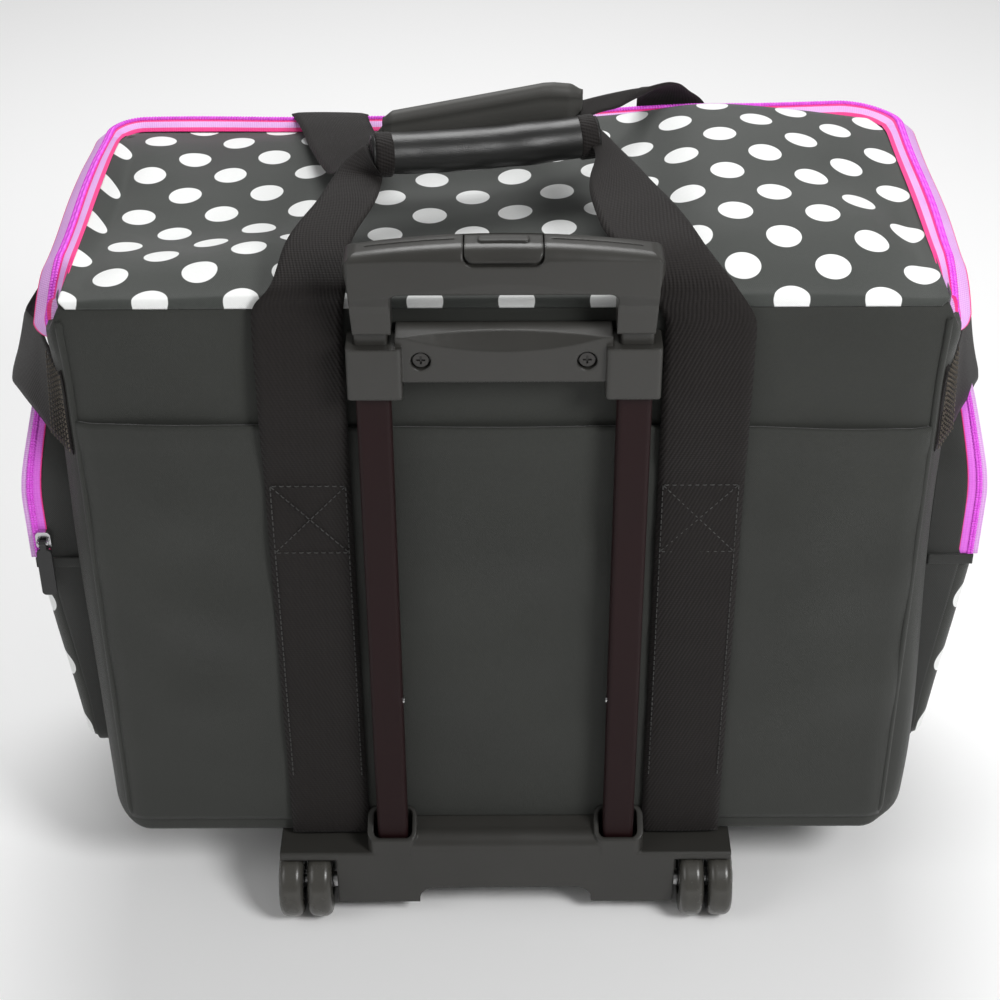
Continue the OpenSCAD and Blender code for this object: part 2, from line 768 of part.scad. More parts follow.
// Pull: an eye round the slider's pin and a soft tab below it
module zip_pull() {
    neck = 3.6;
    shoulder = 5;
    eye = pull_pin_r + 1;
    color([0.13, 0.13, 0.13]) difference() {
        union() {
            translate([-neck / 2, pin_out, 0]) rotate([0, 90, 0])
                cylinder(h = neck, r = eye);
            block([-neck / 2, pin_out - pull_t / 2, -shoulder - 2],
                [neck / 2, pin_out + pull_t / 2, 0]);
            along_y(pin_out - pull_t / 2, pin_out + pull_t / 2)
                translate([0, -(shoulder + pull_l) / 2])
                rrect(pull_w, pull_l - shoulder, 2.5);
        }
        translate([-neck, pin_out, 0]) rotate([0, 90, 0])
            cylinder(h = 2 * neck, r = pull_pin_r + 0.07);
    }
}

// Lid sliders meet at the middle of the front, on the rim's tape
lid_slider_x = slider_l / 2 + 2;
module at_lid_slider(s) {
    translate([s * lid_slider_x, yf(layer_gap + tape_t), zb(body_h - slider_w / 2 - 1.5)])
        children();
}

// A pocket's slider stands at the foot of the leg of zip on its left
module at_pocket_slider(w, h, flap_h) {
    translate([-w / 2 - tape_t, zip_depth - slider_w / 2 - 0.4, h - flap_h + slider_l / 2 + 9])
        rotate([0, 0, 90]) children();
}

// Trolley
module outer_tubes() {
    color(tube_c) pair() difference() {
        stile(tube_w, tube_d, tube_foot, tube_top, 3);
        stile(tube_w - 2 * tube_wall, tube_d - 2 * tube_wall, tube_foot - 1, tube_top + 1, 2);
    }
}

module mid_tubes() {
    color(steel_c) pair() difference() {
        stile(mid_w, mid_d, mid_foot, mid_top, 2);
        stile(mid_w - 2 * tube_wall, mid_d - 2 * tube_wall, mid_foot - 1, mid_top + 1, 1);
    }
}

// Bush on top of each middle tube, in which the inner tube slides
module mid_collars() {
    color(plastic_c) pair() difference() {
        stile(mid_w, mid_d, mid_top, neck_top, 2);
        stile(inner_w + 0.6, inner_d + 0.6, mid_top - 1, neck_top + 1, 1);
    }
}

module inner_tubes() {
    color(steel_c) pair() difference() {
        stile(inner_w, inner_d, inner_foot, inner_top, 1);
        stile(inner_w - 2 * tube_wall, inner_d - 2 * tube_wall,
            inner_foot - 1, inner_top + 1, 0.5);
    }
}

// Collar that stands out of each sleeve, round the middle tube
neck_w = 18.4;
neck_d = 14;
module neck_bushes() {
    color(plastic_c) pair() difference() {
        stile(neck_w, neck_d, tube_top, neck_top, 2);
        stile(mid_w + 0.6, mid_d + 0.6, tube_top - 1, neck_top + 1, 2);
    }
}

rivet_h = 122;
module tube_rivets() {
    head_r = 2;
    color(steel_c) pair()
        translate([tube_x - tube_w / 2 - 1, ye(tube_off + tube_d - 4), zb(rivet_h)])
        rotate([0, 90, 0]) cylinder(h = 1, r = head_r);
}

// Bracket at the tops of the tubes: two sleeves and a plate with a
// crescent-shaped bevel, screwed through the back panel
screw_h = sleeve_top - 9.3;
module handle_bracket() {
    back = 2 * layer_gap + 1;
    scoop_low = plate_top - 8.7;
    scoop_r = 250;
    scoop_tilt = 45;
    plate_half = tube_x - sleeve_w / 2 + 2;
    sleeve_d = sleeve_front - back;
    color(plastic_c) difference() {
        union() {
            pair() translate([tube_x - 1.5, ye(back + sleeve_d / 2), zb(sleeve_top - sleeve_h)])
                linear_extrude(sleeve_h) rrect(sleeve_w, sleeve_d, 2.5);
            block([-plate_half, ye(plate_front), zb(plate_top - plate_h)],
                [plate_half, ye(back), zb(plate_top)]);
        }
        translate([0, ye(plate_front), zb(scoop_low)]) rotate([scoop_tilt, 0, 0])
            translate([0, 0, scoop_r]) rotate([90, 0, 0])
            cylinder(h = 120, r = scoop_r, center = true, $fn = 256);
        pair() {
            stile(tube_w, tube_d, 0, tube_top, 3);
            stile(neck_w, neck_d, tube_top - 1, body_h, 2);
            translate([bracket_screw_x, ye(plate_front) - 1, zb(screw_h)])
                rotate([-90, 0, 0]) cylinder(h = bracket_sink + 1, r = 5.6);
        }
        bracket_holes(screw_r + 0.5);
    }
}

// Screws of the bracket, from behind, and of the base, from below
base_screw_x = [124, 28];
base_screw_y = base_under - 12;
screw_r = 2;
head_t = 2.6;
bracket_sink = 4;
module bracket_holes(r) {
    pair() translate([bracket_screw_x, ye(plate_front) - 1, zb(screw_h)])
        rotate([-90, 0, 0]) cylinder(h = half_d, r = r);
}
module base_holes(r) {
    for (x = base_screw_x) pair() translate([x, ye(-base_screw_y), 1])
        cylinder(h = lift + panel_t + 1, r = r);
}
module screw(len, head_r) {
    difference() {
        union() {
            cylinder(h = head_t, r = head_r);
            cylinder(h = len, r = screw_r);
        }
        for (a = [0, 90]) rotate(a) translate([0, 0, 0.3])
            cube([head_r * 1.1, 1, 1.8], center = true);
    }
}

module trolley_screws() {
    in = plate_front - bracket_sink;
    color(steel_c) {
        pair() translate([bracket_screw_x, ye(in + head_t), zb(screw_h)])
            rotate([-90, 0, 0]) screw(in + head_t + panel_t, 4.4);
        for (x = base_screw_x) pair()
            translate([x, ye(-base_screw_y), zb(-shelf_t - head_t)])
            screw(shelf_t + head_t + panel_t, 4);
    }
}

// Base moulding: shelf under the bag, centre housing, sockets for the tubes,
// and legs that carry the axles of the wheels
leg_in = 56;
leg_out = 109.3;
socket_in = 57;
socket_out = 88.6;
centre_drop = 30;
centre_rise = 15;
module base_moulding() {
    gap = slip_t + 2 * layer_gap;
    round_r = 11;
    slope = atan2(13, 21);
    color(plastic_c) difference() {
        union() {
            // shelf
            along_x(-base_half, base_half) polygon([
                [ye(-base_under), zb(-shelf_t)], [ye(base_front), zb(-shelf_t)],
                [ye(base_front), zb(-1)], [ye(base_front - 1), zb(0)],
                [ye(-base_under), zb(0)]]);
            // centre housing with a rounded top, and its lower face
            along_x(-leg_in - 5, leg_in + 5) union() {
                polygon([
                    [ye(-18), zb(-centre_drop)], [ye(base_front), zb(-centre_drop)],
                    [ye(base_front), zb(centre_rise - 3 - round_r)],
                    [ye(base_front - round_r), zb(-shelf_t)],
                    [ye(-18), zb(-shelf_t)]]);
                translate([ye(base_front - round_r), zb(centre_rise - 2 - round_r)])
                    circle(round_r);
                polygon([
                    [ye(gap), zb(-shelf_t)], [ye(base_front), zb(-shelf_t)],
                    [ye(base_front), zb(centre_rise - 2 - round_r)],
                    [ye(base_front - round_r), zb(centre_rise - 2 - round_r)],
                    [ye(base_front - round_r), zb(centre_rise - 2)],
                    [ye(gap), zb(centre_rise)]]);
            }
            pair() {
                // leg beside the wheels
                along_y(ye(base_front), ye(-18)) union() {
                    translate([leg_in, zb(-leg_drop)])
                        square([leg_out - leg_in, leg_drop - shelf_t + 1]);
                    // fillet up to the centre housing's lower face
                    difference() {
                        translate([leg_in - 10, zb(-centre_drop - 10)]) square([11, 11]);
                        translate([leg_in - 10, zb(-centre_drop - 10)]) circle(10);
                    }
                }
                // socket round the tube's foot, its rim sloping to the front
                intersection() {
                    translate([(socket_in + socket_out) / 2,
                        ye((base_front + gap) / 2), zb(-shelf_t)])
                        linear_extrude(40)
                        rrect(socket_out - socket_in, base_front - gap, 6);
                    translate([socket_in - 1, ye(base_front), zb(11)])
                        rotate([slope, 0, 0]) translate([0, -40, -80]) cube([60, 120, 80]);
                }
                // gusset behind the leg
                along_x(leg_out - 4, leg_out) polygon([
                    [ye(-18), zb(-shelf_t)], [ye(-18), zb(-leg_drop + 4)],
                    [ye(-base_under + 4), zb(-shelf_t)]]);
            }
        }
        pair() {
            stile(tube_w, tube_d, tube_foot, 60, 3);
            stile(tube_w + 5.4, tube_d + 4, 0, 60, 4);
            translate([leg_out - 12, ye(axle_off), zb(-axle_drop)]) rotate([0, 90, 0])
                cylinder(h = 80, r = axle_r);
            // way for the sewn strap behind the socket
            block([strap_x - strap_w / 2 - layer_gap, ye(back_lay + strap_t / 2 + layer_gap), lift],
                [strap_x, ye(-1), zb(60)]);
        }
        base_holes(screw_r + 0.3);
    }
}

// Axle pins: pressed into the leg, with a collar beside it and a head at the end
collar_w = 3;
axle_end = leg_out + collar_w + 2 * wheel_w + wheel_gap + 1;
module wheel_axles() {
    color(steel_c) pair() translate([0, ye(axle_off), zb(-axle_drop)])
        rotate([0, 90, 0]) union() {
            translate([0, 0, leg_out - 12]) cylinder(h = axle_end - leg_out + 12, r = axle_r);
            translate([0, 0, leg_out]) cylinder(h = collar_w, r = axle_r + 2.4);
            translate([0, 0, axle_end]) cylinder(h = 1.5, r = axle_r + 2);
        }
}

// Wheel: hub with a bored boss, web and grooved tyre with rounded shoulders
module wheel(x) {
    shoulder = 5;
    web = 6;
    color(rubber_c) translate([x, ye(axle_off), zb(-axle_drop)]) rotate([0, 90, 0])
        rotate_extrude() difference() {
            union() {
                translate([wheel_r - 9, 0]) intersection() {
                    translate([-9, -wheel_w / 2]) square([18, wheel_w]);
                    union() {
                        translate([0, 0]) square([18 - 2 * shoulder, wheel_w], center = true);
                        translate([9 - shoulder, wheel_w / 2 - shoulder]) circle(shoulder);
                        translate([9 - shoulder, shoulder - wheel_w / 2]) circle(shoulder);
                        translate([-3, shoulder - wheel_w / 2])
                            square([12, wheel_w - 2 * shoulder]);
                    }
                }
                translate([axle_r, -web / 2]) square([wheel_r - 12, web]);
                translate([0, -wheel_w / 2]) square([axle_r + 3, wheel_w]);
            }
            translate([-1, -wheel_w]) square([axle_r + axle_fit + 1, 2 * wheel_w]);
        }
}
wheel_in_x = leg_out + collar_w + 0.6 + wheel_w / 2;
wheel_out_x = wheel_in_x + wheel_w + wheel_gap;

// Handle: a bowed bar on two legs, made from its front, side and plan outlines
// and a rounded section swept along the bow
bow_r = 560;
leg_x = tube_x - 0.6;
module handle_form(drop) {
    top = zb(bar_top - drop);
    end_r = 10;
    end_fall = bow_r - sqrt(pow(bow_r, 2) - pow(bar_half - end_r, 2));
    front_r = 9;
    plan_r = 1400;
    below = 14;
    intersection() {
        // front outline with the window
        along_y(ye(bar_front + 1), ye(0)) difference() {
            union() {
                square([2 * leg_x, 2 * top], center = true);
                for (s = [-1, 1]) mirror([s > 0 ? 0 : 1, 0]) {
                    polygon([[0, zb(handle_foot)], [leg_x + leg_w / 2 - 0.9, zb(handle_foot)],
                        [leg_x + leg_w / 2, zb(bar_under - below)],
                        [leg_x + leg_w / 2 + 0.4, zb(bar_under + 2)],
                        [bar_half - 1.6, zb(bar_under + 7)],
                        [bar_half - 0.4, zb(bar_under + 11)],
                        [bar_half, zb(bar_under + 14)],
                        [bar_half, top - end_fall - end_r],
                        [bar_half - end_r, top - end_fall - end_r],
                        [bar_half - end_r, top], [0, top]]);
                    translate([bar_half - end_r, top - end_fall - end_r]) circle(end_r);
                }
            }
            translate([0, zb(bar_under) - 40]) rrect(2 * (leg_x - leg_w / 2), 80, 5);
        }
        // side outline
        along_x(-bar_half - 1, bar_half + 1) polygon([
            [ye(4), zb(handle_foot)], [ye(bar_front - 7), zb(handle_foot)],
            [ye(bar_front - 6.6), zb(bar_under - below)],
            [ye(bar_front - 5.4), zb(bar_under - 9)],
            [ye(bar_front - 3.4), zb(bar_under - 5)],
            [ye(bar_front - 1.4), zb(bar_under - 1)],
            [ye(bar_front - 0.4), zb(bar_under + 3)],
            [ye(bar_front), zb(bar_under + 7)],
            [ye(bar_front), top + 1], [ye(3), top + 1], [ye(3), zb(bar_under)]]);
        // plan outline, its front bowed
        intersection() {
            translate([0, ye(0), zb(handle_foot)])
                linear_extrude(bar_top) rrect(2 * bar_half, 2 * bar_front, front_r);
            translate([0, ye(bar_front) + plan_r, zb(handle_foot)])
                cylinder(h = bar_top, r = plan_r, $fn = 512);
        }
        // section along the bow, and the space of the legs
        union() {
            translate([0, 0, top - bow_r]) rotate([90, 0, 0]) rotate_extrude($fn = 256)
                translate([bow_r - bar_h / 2 - 5, -ye(bar_front / 2 + 1.5)])
                rrect(bar_h + 10, bar_front - 3, front_r);
            block([-bar_half - 1, ye(bar_front + 1), zb(handle_foot) - 1],
                [bar_half + 1, ye(0), zb(bar_under + 8)]);
        }
    }
}

button_floor = bar_top - 6.5 - 2 * button_travel;
button_r = 5;
skirt_t = 3;
module button_space(grow, h0) {
    along_y(ye(bar_front + 1), ye(9 - grow)) translate([0, zb(h0) + 20])
        rrect(2 * (button_half + grow), 40, button_r + grow);
}

// Wall of the bar behind the button's skirt
module button_wall(grow, h) {
    block([-button_half - 2, ye(bar_front - skirt_t) - grow, zb(button_floor) - 1],
        [button_half + 2, ye(bar_front - skirt_t - 3.6) + grow, zb(h)]);
}

spring_r = 3.6;
module trolley_handle() {
    color(plastic_c) difference() {
        handle_form(0);
        difference() {
            button_space(0.6, button_floor);
            button_wall(0, button_floor + button_travel + 0.4);
        }
        // bore for the button's stem and spring
        translate([0, ye(17), zb(button_floor - 12)]) cylinder(h = 20, r = spring_r + 1.2);
        // moulded groove each side of the button
        pair() intersection() {
            translate([0, ye(15), zb(bar_top) - bow_r]) rotate([90, 0, 0])
                rotate_extrude($fn = 256) translate([bow_r - 1, 0]) square([3, 1]);
            block([button_half + 5, ye(18), zb(bar_top - 9)], [bar_half - 12, ye(12), zb(bar_top)]);
        }
        pair() stile(inner_w, inner_d, handle_foot - 1, inner_top, 1);
    }
}

module push_button() {
    h0 = button_floor + button_travel + 0.4;
    nub_half = 13.5;
    color(plastic_c) union() {
        difference() {
            intersection() {
                handle_form(0.5);
                button_space(0, h0);
            }
            button_wall(0.5, h0 + button_travel + 0.4);
        }
        // raised nub for the thumb
        intersection() {
            handle_form(-0.7);
            translate([0, ye(16.5), zb(bar_top - 4)]) linear_extrude(8)
                rrect(2 * nub_half, 7, 2);
        }
        translate([0, ye(17), zb(button_floor - 7)]) cylinder(h = h0 - button_floor + 8, r = 1.8);
    }
}

// Coil spring round the button's stem
spring_turns = 5;
module button_spring() {
    wire = 0.5;
    rings = 12;
    sides = 6;
    z0 = button_floor - 12 + wire;
    z1 = button_floor + button_travel + 0.4 - wire;
    n = spring_turns * rings;
    pts = [for (i = [0:n], k = [0:sides - 1])
        let (a = 360 * i / rings, b = 360 * k / sides,
            r = spring_r - wire + wire * cos(b))
        [r * cos(a), r * sin(a), z0 + (z1 - z0) * i / n + wire * sin(b)]];
    faces = concat(
        [[for (k = [0:sides - 1]) k]],
        [for (i = [0:n - 1], k = [0:sides - 1])
            let (a = i * sides + k, b = i * sides + (k + 1) % sides)
            each [[a, b + sides, b], [a, a + sides, b + sides]]],
        [[for (k = [sides - 1:-1:0]) n * sides + k]]);
    color(steel_c) translate([0, ye(17), lift]) polyhedron(pts, faces);
}

// Moulded front foot, turned from a profile
module front_feet() {
    foot_y = half_d - 38;
    flange_r = 30;
    color(plastic_c) pair() translate([foot_x, foot_y, 0]) rotate_extrude() union() {
        polygon([[0, 0], [15, 0], [18, 3], [18, 12], [22, lift - 4], [0, lift - 4]]);
        translate([0, lift - 4]) square([flange_r, 4]);
    }
}

module place() {
    translate([0, y_shift, 0]) children();
}
sp = [side_pocket_w, side_pocket_h, side_flap_h];
fp = [front_pocket_w, front_pocket_h, front_flap_h];

place() back_panel();
place() front_panel();
place() side_panel(-1);  // side_panel_left
place() side_panel(1);  // side_panel_right
place() bottom_panel();
place() lining();
place() back_board();
place() base_board();
place() slip_pocket();
place() back_straps();
place() front_straps();
place() rim_zip_tape();
place() tie_down_straps();
place() tie_down_buckles();
place() on_left() pocket_body(sp[0], sp[1], sp[2], pocket_lean);  // side_pocket_left
place() on_right() pocket_body(sp[0], sp[1], sp[2], pocket_lean);  // side_pocket_right
place() on_front() pocket_body(fp[0], fp[1], fp[2], 0);  // front_pocket
place() on_left() pocket_zip(sp[0], sp[1], sp[2]);  // pocket_zip_left
place() on_right() pocket_zip(sp[0], sp[1], sp[2]);  // pocket_zip_right
place() on_front() pocket_zip(fp[0], fp[1], fp[2]);  // pocket_zip_front
place() base_moulding();
place() outer_tubes();
place() tube_rivets();
place() handle_bracket();
place() trolley_screws();
place() neck_bushes();
place() wheel_axles();
place() front_feet();
place() lid_panel();
place() lid_lining();
place() lid_zip_tape();
place() back_handle_strap();
place() back_grip();
place() front_handle_strap();
place() front_grip();
place() side_handle(-1);  // side_handle_left
place() side_handle(1);  // side_handle_right
place() on_left() pocket_flap(sp[0], sp[1], sp[2]);  // pocket_flap_left
place() on_right() pocket_flap(sp[0], sp[1], sp[2]);  // pocket_flap_right
place() on_front() pocket_flap(fp[0], fp[1], fp[2]);  // pocket_flap_front
place() mid_tubes();
place() mid_collars();
place() inner_tubes();
place() trolley_handle();
place() push_button();
place() button_spring();
place() wheel(-wheel_out_x);  // wheel_left_outer
place() wheel(-wheel_in_x);  // wheel_left_inner
place() wheel(wheel_in_x);  // wheel_right_inner
place() wheel(wheel_out_x);  // wheel_right_outer
place() at_lid_slider(-1) zip_slider(slider_l, slider_w);  // lid_slider_left
place() at_lid_slider(1) zip_slider(slider_l, slider_w);  // lid_slider_right
place() on_left() at_pocket_slider(sp[0], sp[1], sp[2]) zip_slider(slider_w, slider_l);  // pocket_slider_left
place() on_right() at_pocket_slider(sp[0], sp[1], sp[2]) zip_slider(slider_w, slider_l);  // pocket_slider_right
place() on_front() at_pocket_slider(fp[0], fp[1], fp[2]) zip_slider(slider_w, slider_l);  // pocket_slider_front
place() at_lid_slider(-1) zip_pull();  // lid_pull_left
place() at_lid_slider(1) zip_pull();  // lid_pull_right
place() on_left() at_pocket_slider(sp[0], sp[1], sp[2]) zip_pull();  // pocket_pull_left
place() on_right() at_pocket_slider(sp[0], sp[1], sp[2]) zip_pull();  // pocket_pull_right
place() on_front() at_pocket_slider(fp[0], fp[1], fp[2]) zip_pull();  // pocket_pull_front
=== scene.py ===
"""Rolling sewing machine bag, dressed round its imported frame.

Sizes are in millimetres about the bag's own centre, with z = 0 at its bottom and the trolley on the
-Y side. Frame.row turns them into metres in the row frame.
"""

import logging
import math
from dataclasses import dataclass
from enum import Enum
from typing import Callable, Optional, Sequence

import bmesh
import bpy
import numpy as np
from mathutils import Matrix, Vector


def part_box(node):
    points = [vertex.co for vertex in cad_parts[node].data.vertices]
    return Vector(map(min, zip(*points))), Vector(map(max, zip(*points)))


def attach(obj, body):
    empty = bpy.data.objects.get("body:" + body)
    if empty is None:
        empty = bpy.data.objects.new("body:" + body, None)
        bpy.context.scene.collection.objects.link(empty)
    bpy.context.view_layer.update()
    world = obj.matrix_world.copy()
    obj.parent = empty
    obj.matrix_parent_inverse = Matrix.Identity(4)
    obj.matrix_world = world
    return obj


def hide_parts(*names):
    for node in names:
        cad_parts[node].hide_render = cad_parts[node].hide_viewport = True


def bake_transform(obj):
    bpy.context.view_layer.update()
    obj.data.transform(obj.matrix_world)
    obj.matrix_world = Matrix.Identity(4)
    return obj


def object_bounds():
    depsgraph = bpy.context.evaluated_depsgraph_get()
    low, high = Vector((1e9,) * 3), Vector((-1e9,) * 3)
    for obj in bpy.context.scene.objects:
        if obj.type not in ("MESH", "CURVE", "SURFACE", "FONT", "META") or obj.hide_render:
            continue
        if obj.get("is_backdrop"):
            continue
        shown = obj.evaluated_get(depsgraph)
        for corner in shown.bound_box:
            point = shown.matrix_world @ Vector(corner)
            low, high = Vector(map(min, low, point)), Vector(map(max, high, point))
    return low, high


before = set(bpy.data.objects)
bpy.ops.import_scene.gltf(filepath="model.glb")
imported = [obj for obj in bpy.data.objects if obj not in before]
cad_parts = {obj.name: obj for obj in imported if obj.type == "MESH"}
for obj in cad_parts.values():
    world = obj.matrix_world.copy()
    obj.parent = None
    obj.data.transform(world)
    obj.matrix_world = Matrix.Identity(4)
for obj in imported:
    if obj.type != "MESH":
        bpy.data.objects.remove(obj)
LOG = logging.getLogger("bag")
Array = np.ndarray


class Side(Enum):
    """Left and right as seen from the trolley side, as the sign of x."""

    LEFT = -1
    RIGHT = 1


# Materials


class Sock:
    """A link or number in a material, on which arithmetic adds Math nodes."""

    def __init__(self, maker: "Maker", value: object) -> None:
        """Wrap a node socket or a number."""
        self.maker = maker
        self.value = value

    def _op(self, kind: str, *others: object) -> "Sock":
        """Return the Math node of that kind on this value and others."""
        return self.maker.math(kind, self, *others)

    def __add__(self, other: object) -> "Sock":
        """Sum."""
        return self._op("ADD", other)

    __radd__ = __add__

    def __mul__(self, other: object) -> "Sock":
        """Product."""
        return self._op("MULTIPLY", other)

    __rmul__ = __mul__

    def __sub__(self, other: object) -> "Sock":
        """Difference."""
        return self._op("SUBTRACT", other)

    def __rsub__(self, other: object) -> "Sock":
        """Reflected difference."""
        return self.maker.math("SUBTRACT", other, self)

    def __truediv__(self, other: object) -> "Sock":
        """Quotient."""
        return self._op("DIVIDE", other)

    def sin(self) -> "Sock":
        """Sine of a value in radians."""
        return self._op("SINE")

    def abs(self) -> "Sock":
        """Absolute value."""
        return self._op("ABSOLUTE")

    def fract(self) -> "Sock":
        """Fractional part."""
        return self._op("FRACT")

    def wave(self, period: float) -> "Sock":
        """Sine wave of that period, from -1 to 1."""
        return (self * (2 * math.pi / period)).sin()

    def ridge(self, period: float) -> "Sock":
        """Sine wave of that period, from 0 to 1."""
        return self.wave(period) * 0.5 + 0.5

    def step(self, low: float, high: float) -> "Sock":
        """Smooth step from 0 at low to 1 at high."""
        return self.maker.node(
            "ShaderNodeMapRange",
            {"interpolation_type": "SMOOTHSTEP"},
            {0: self, 1: low, 2: high, 3: 0.0, 4: 1.0},
        )


class Maker:
    """Builds one node material."""

    def __init__(self, name: str) -> None:
        """Start an empty material of that name.

        Args:
            name: name of the material.
        """
        self.material = bpy.data.materials.new(name)
        self.material.use_nodes = True
        self.tree = self.material.node_tree
        self.tree.nodes.clear()

    def node(self, kind: str, settings: dict, values: dict, output: object = 0) -> Sock:
        """Add any node.

        Args:
            kind: the node's type.
            settings: attributes that are set first.
            values: socket name or index to a number, colour or Sock.
            output: the name or index of the output that is returned.

        Returns:
            The chosen output.
        """
        made = self.tree.nodes.new(kind)
        for key, value in settings.items():
            setattr(made, key, value)
        for key, value in values.items():
            if isinstance(value, Sock):
                value = value.value
            if isinstance(value, bpy.types.NodeSocket):
                self.tree.links.new(value, made.inputs[key])
            else:
                made.inputs[key].default_value = value
        return Sock(self, made.outputs[output])

    def math(self, kind: str, *values: object) -> Sock:
        """Add a Math node on up to three values."""
        return self.node("ShaderNodeMath", {"operation": kind}, dict(enumerate(values)))

    def mix(self, factor: Sock, low: object, high: object) -> Sock:
        """Mix two colours, plain or linked, by a factor, with low at 0."""
        return self.node(
            "ShaderNodeMix", {"data_type": "RGBA"}, {"Factor": factor, 6: low, 7: high}, 2
        )

    def uv(self) -> tuple[Sock, Sock]:
        """The piece's own UV in metres, as two values."""
        made = self.node("ShaderNodeUVMap", {"uv_map": "cloth"}, {})
        return self._split(made)[:2]

    def place(self) -> Sock:
        """Object coordinates as a vector."""
        return self.node("ShaderNodeTexCoord", {}, {}, "Object")

    def _split(self, vector: Sock) -> tuple[Sock, Sock, Sock]:
        """Split a vector into its three parts.

        Args:
            vector: the link to split.

        Returns:
            Its x, y and z.
        """
        made = self.node("ShaderNodeSeparateXYZ", {}, {0: vector})
        outputs = made.value.node.outputs
        return made, Sock(self, outputs[1]), Sock(self, outputs[2])

    def parts(self) -> tuple[Sock, Sock, Sock]:
        """Object coordinates as three values."""
        return self._split(self.place())

    def noise(self, scale: float, detail: float = 2.0, vector: Optional[Sock] = None) -> Sock:
        """Noise from 0 to 1 on Object coordinates, or on another vector."""
        return self.node(
            "ShaderNodeTexNoise",
            {},
            {"Vector": vector or self.place(), "Scale": scale, "Detail": detail},
        )

    def finish(
        self,
        colour: object,
        roughness: object,
        height: Optional[Sock] = None,
        depth: float = 0.0002,
        edge: float = 0.0,
        **fixed: object,
    ) -> bpy.types.Material:
        """Close the material with a Principled shader.

        Args:
            colour: base colour, plain or linked.
            roughness: plain or linked.
            height: height of the relief, from 0 to 1.
            depth: depth of that relief in metres.
            edge: radius in metres to which edges look rounded.
            fixed: other inputs of the shader, by name with _ for a space.

        Returns:
            The material.
        """
        values = {"Base Color": colour, "Roughness": roughness}
        values.update({key.replace("_", " "): value for key, value in fixed.items()})
        normal = None
        if edge > 0:
            normal = self.node("ShaderNodeBevel", {"samples": 4}, {"Radius": edge})
        if height is not None:
            bump = {"Strength": 1.0, "Distance": depth, "Height": height}
            if normal is not None:
                bump["Normal"] = normal
            normal = self.node("ShaderNodeBump", {}, bump)
        if normal is not None:
            values["Normal"] = normal
        shader = self.node("ShaderNodeBsdfPrincipled", {}, values)
        out = self.tree.nodes.new("ShaderNodeOutputMaterial")
        self.tree.links.new(shader.value, out.inputs["Surface"])
        return self.material


Colour = tuple[float, float, float]


def rgba(colour: Colour, gain: float = 1.0) -> tuple[float, float, float, float]:
    """Colour with alpha 1, brightened by gain."""
    return (colour[0] * gain, colour[1] * gain, colour[2] * gain, 1.0)


@dataclass(frozen=True)
class Twill:
    """Coated polyester twill: fine diagonal ribs, mottled tone, soft sheen."""

    name: str
    colour: Colour
    rib: float = 0.0011
    sheen: float = 0.12
    dots: float = 0.0
    dot_shift: tuple[float, float] = (0.0, 0.0)
    dot_radius: float = 0.2
    dot_blur: float = 0.0002
    relief: float = 0.00012
    shine: float = 0.22

    def make(self) -> bpy.types.Material:
        """Build the material, with round dots where dots gives their pitch.

        Returns:
            The material.
        """
        m = Maker(self.name)
        u, v = m.uv()
        ribs = (u + v).ridge(self.rib)
        cross = (u - v).ridge(self.rib * 0.52)
        weave = ribs * 0.75 + cross * 0.25
        cloud = m.noise(9.0, 4.0)
        grain = m.noise(650.0, 2.0)
        tone = cloud * 0.5 + grain * 0.25 + weave * 0.25
        colour = m.mix(tone, rgba(self.colour, 0.5), rgba(self.colour, 1.6))
        roughness = 0.5 + cloud * 0.14
        if self.dots:
            mask = self._dots(m, u, v)
            white = m.mix(grain, rgba(PRINT_WHITE, 0.93), rgba(PRINT_WHITE))
            colour = m.mix(mask, colour, white)
        return m.finish(
            colour,
            roughness,
            weave + grain * 0.5,
            self.relief,
            Sheen_Weight=self.sheen,
            Sheen_Roughness=0.5,
            Specular_IOR_Level=self.shine,
        )

    def _dots(self, m: Maker, u: Sock, v: Sock) -> Sock:
        """Mask of staggered round dots: the least distance to two square lattices.

        Args:
            m: the material's maker.
            u: place across the cloth in metres.
            v: place along the cloth in metres.

        Returns:
            Mask of 1 on a dot and 0 between them.
        """
        pitch = self.dots

        def lattice(du: float, dv: float) -> Sock:
            """Distance to the nearest point of a square lattice, in metres.

            Args:
                du: shift of the lattice across.
                dv: shift of the lattice along.

            Returns:
                The distance.
            """
            x = ((u - (self.dot_shift[0] + du)) / pitch + 0.5).fract() - 0.5
            y = ((v - (self.dot_shift[1] + dv)) / pitch + 0.5).fract() - 0.5
            return m.math("SQRT", x * x + y * y) * pitch

        near = m.math("MINIMUM", lattice(0.0, 0.0), lattice(pitch / 2, pitch / 2))
        radius = pitch * self.dot_radius
        return 1.0 - near.step(radius - self.dot_blur, radius + self.dot_blur)


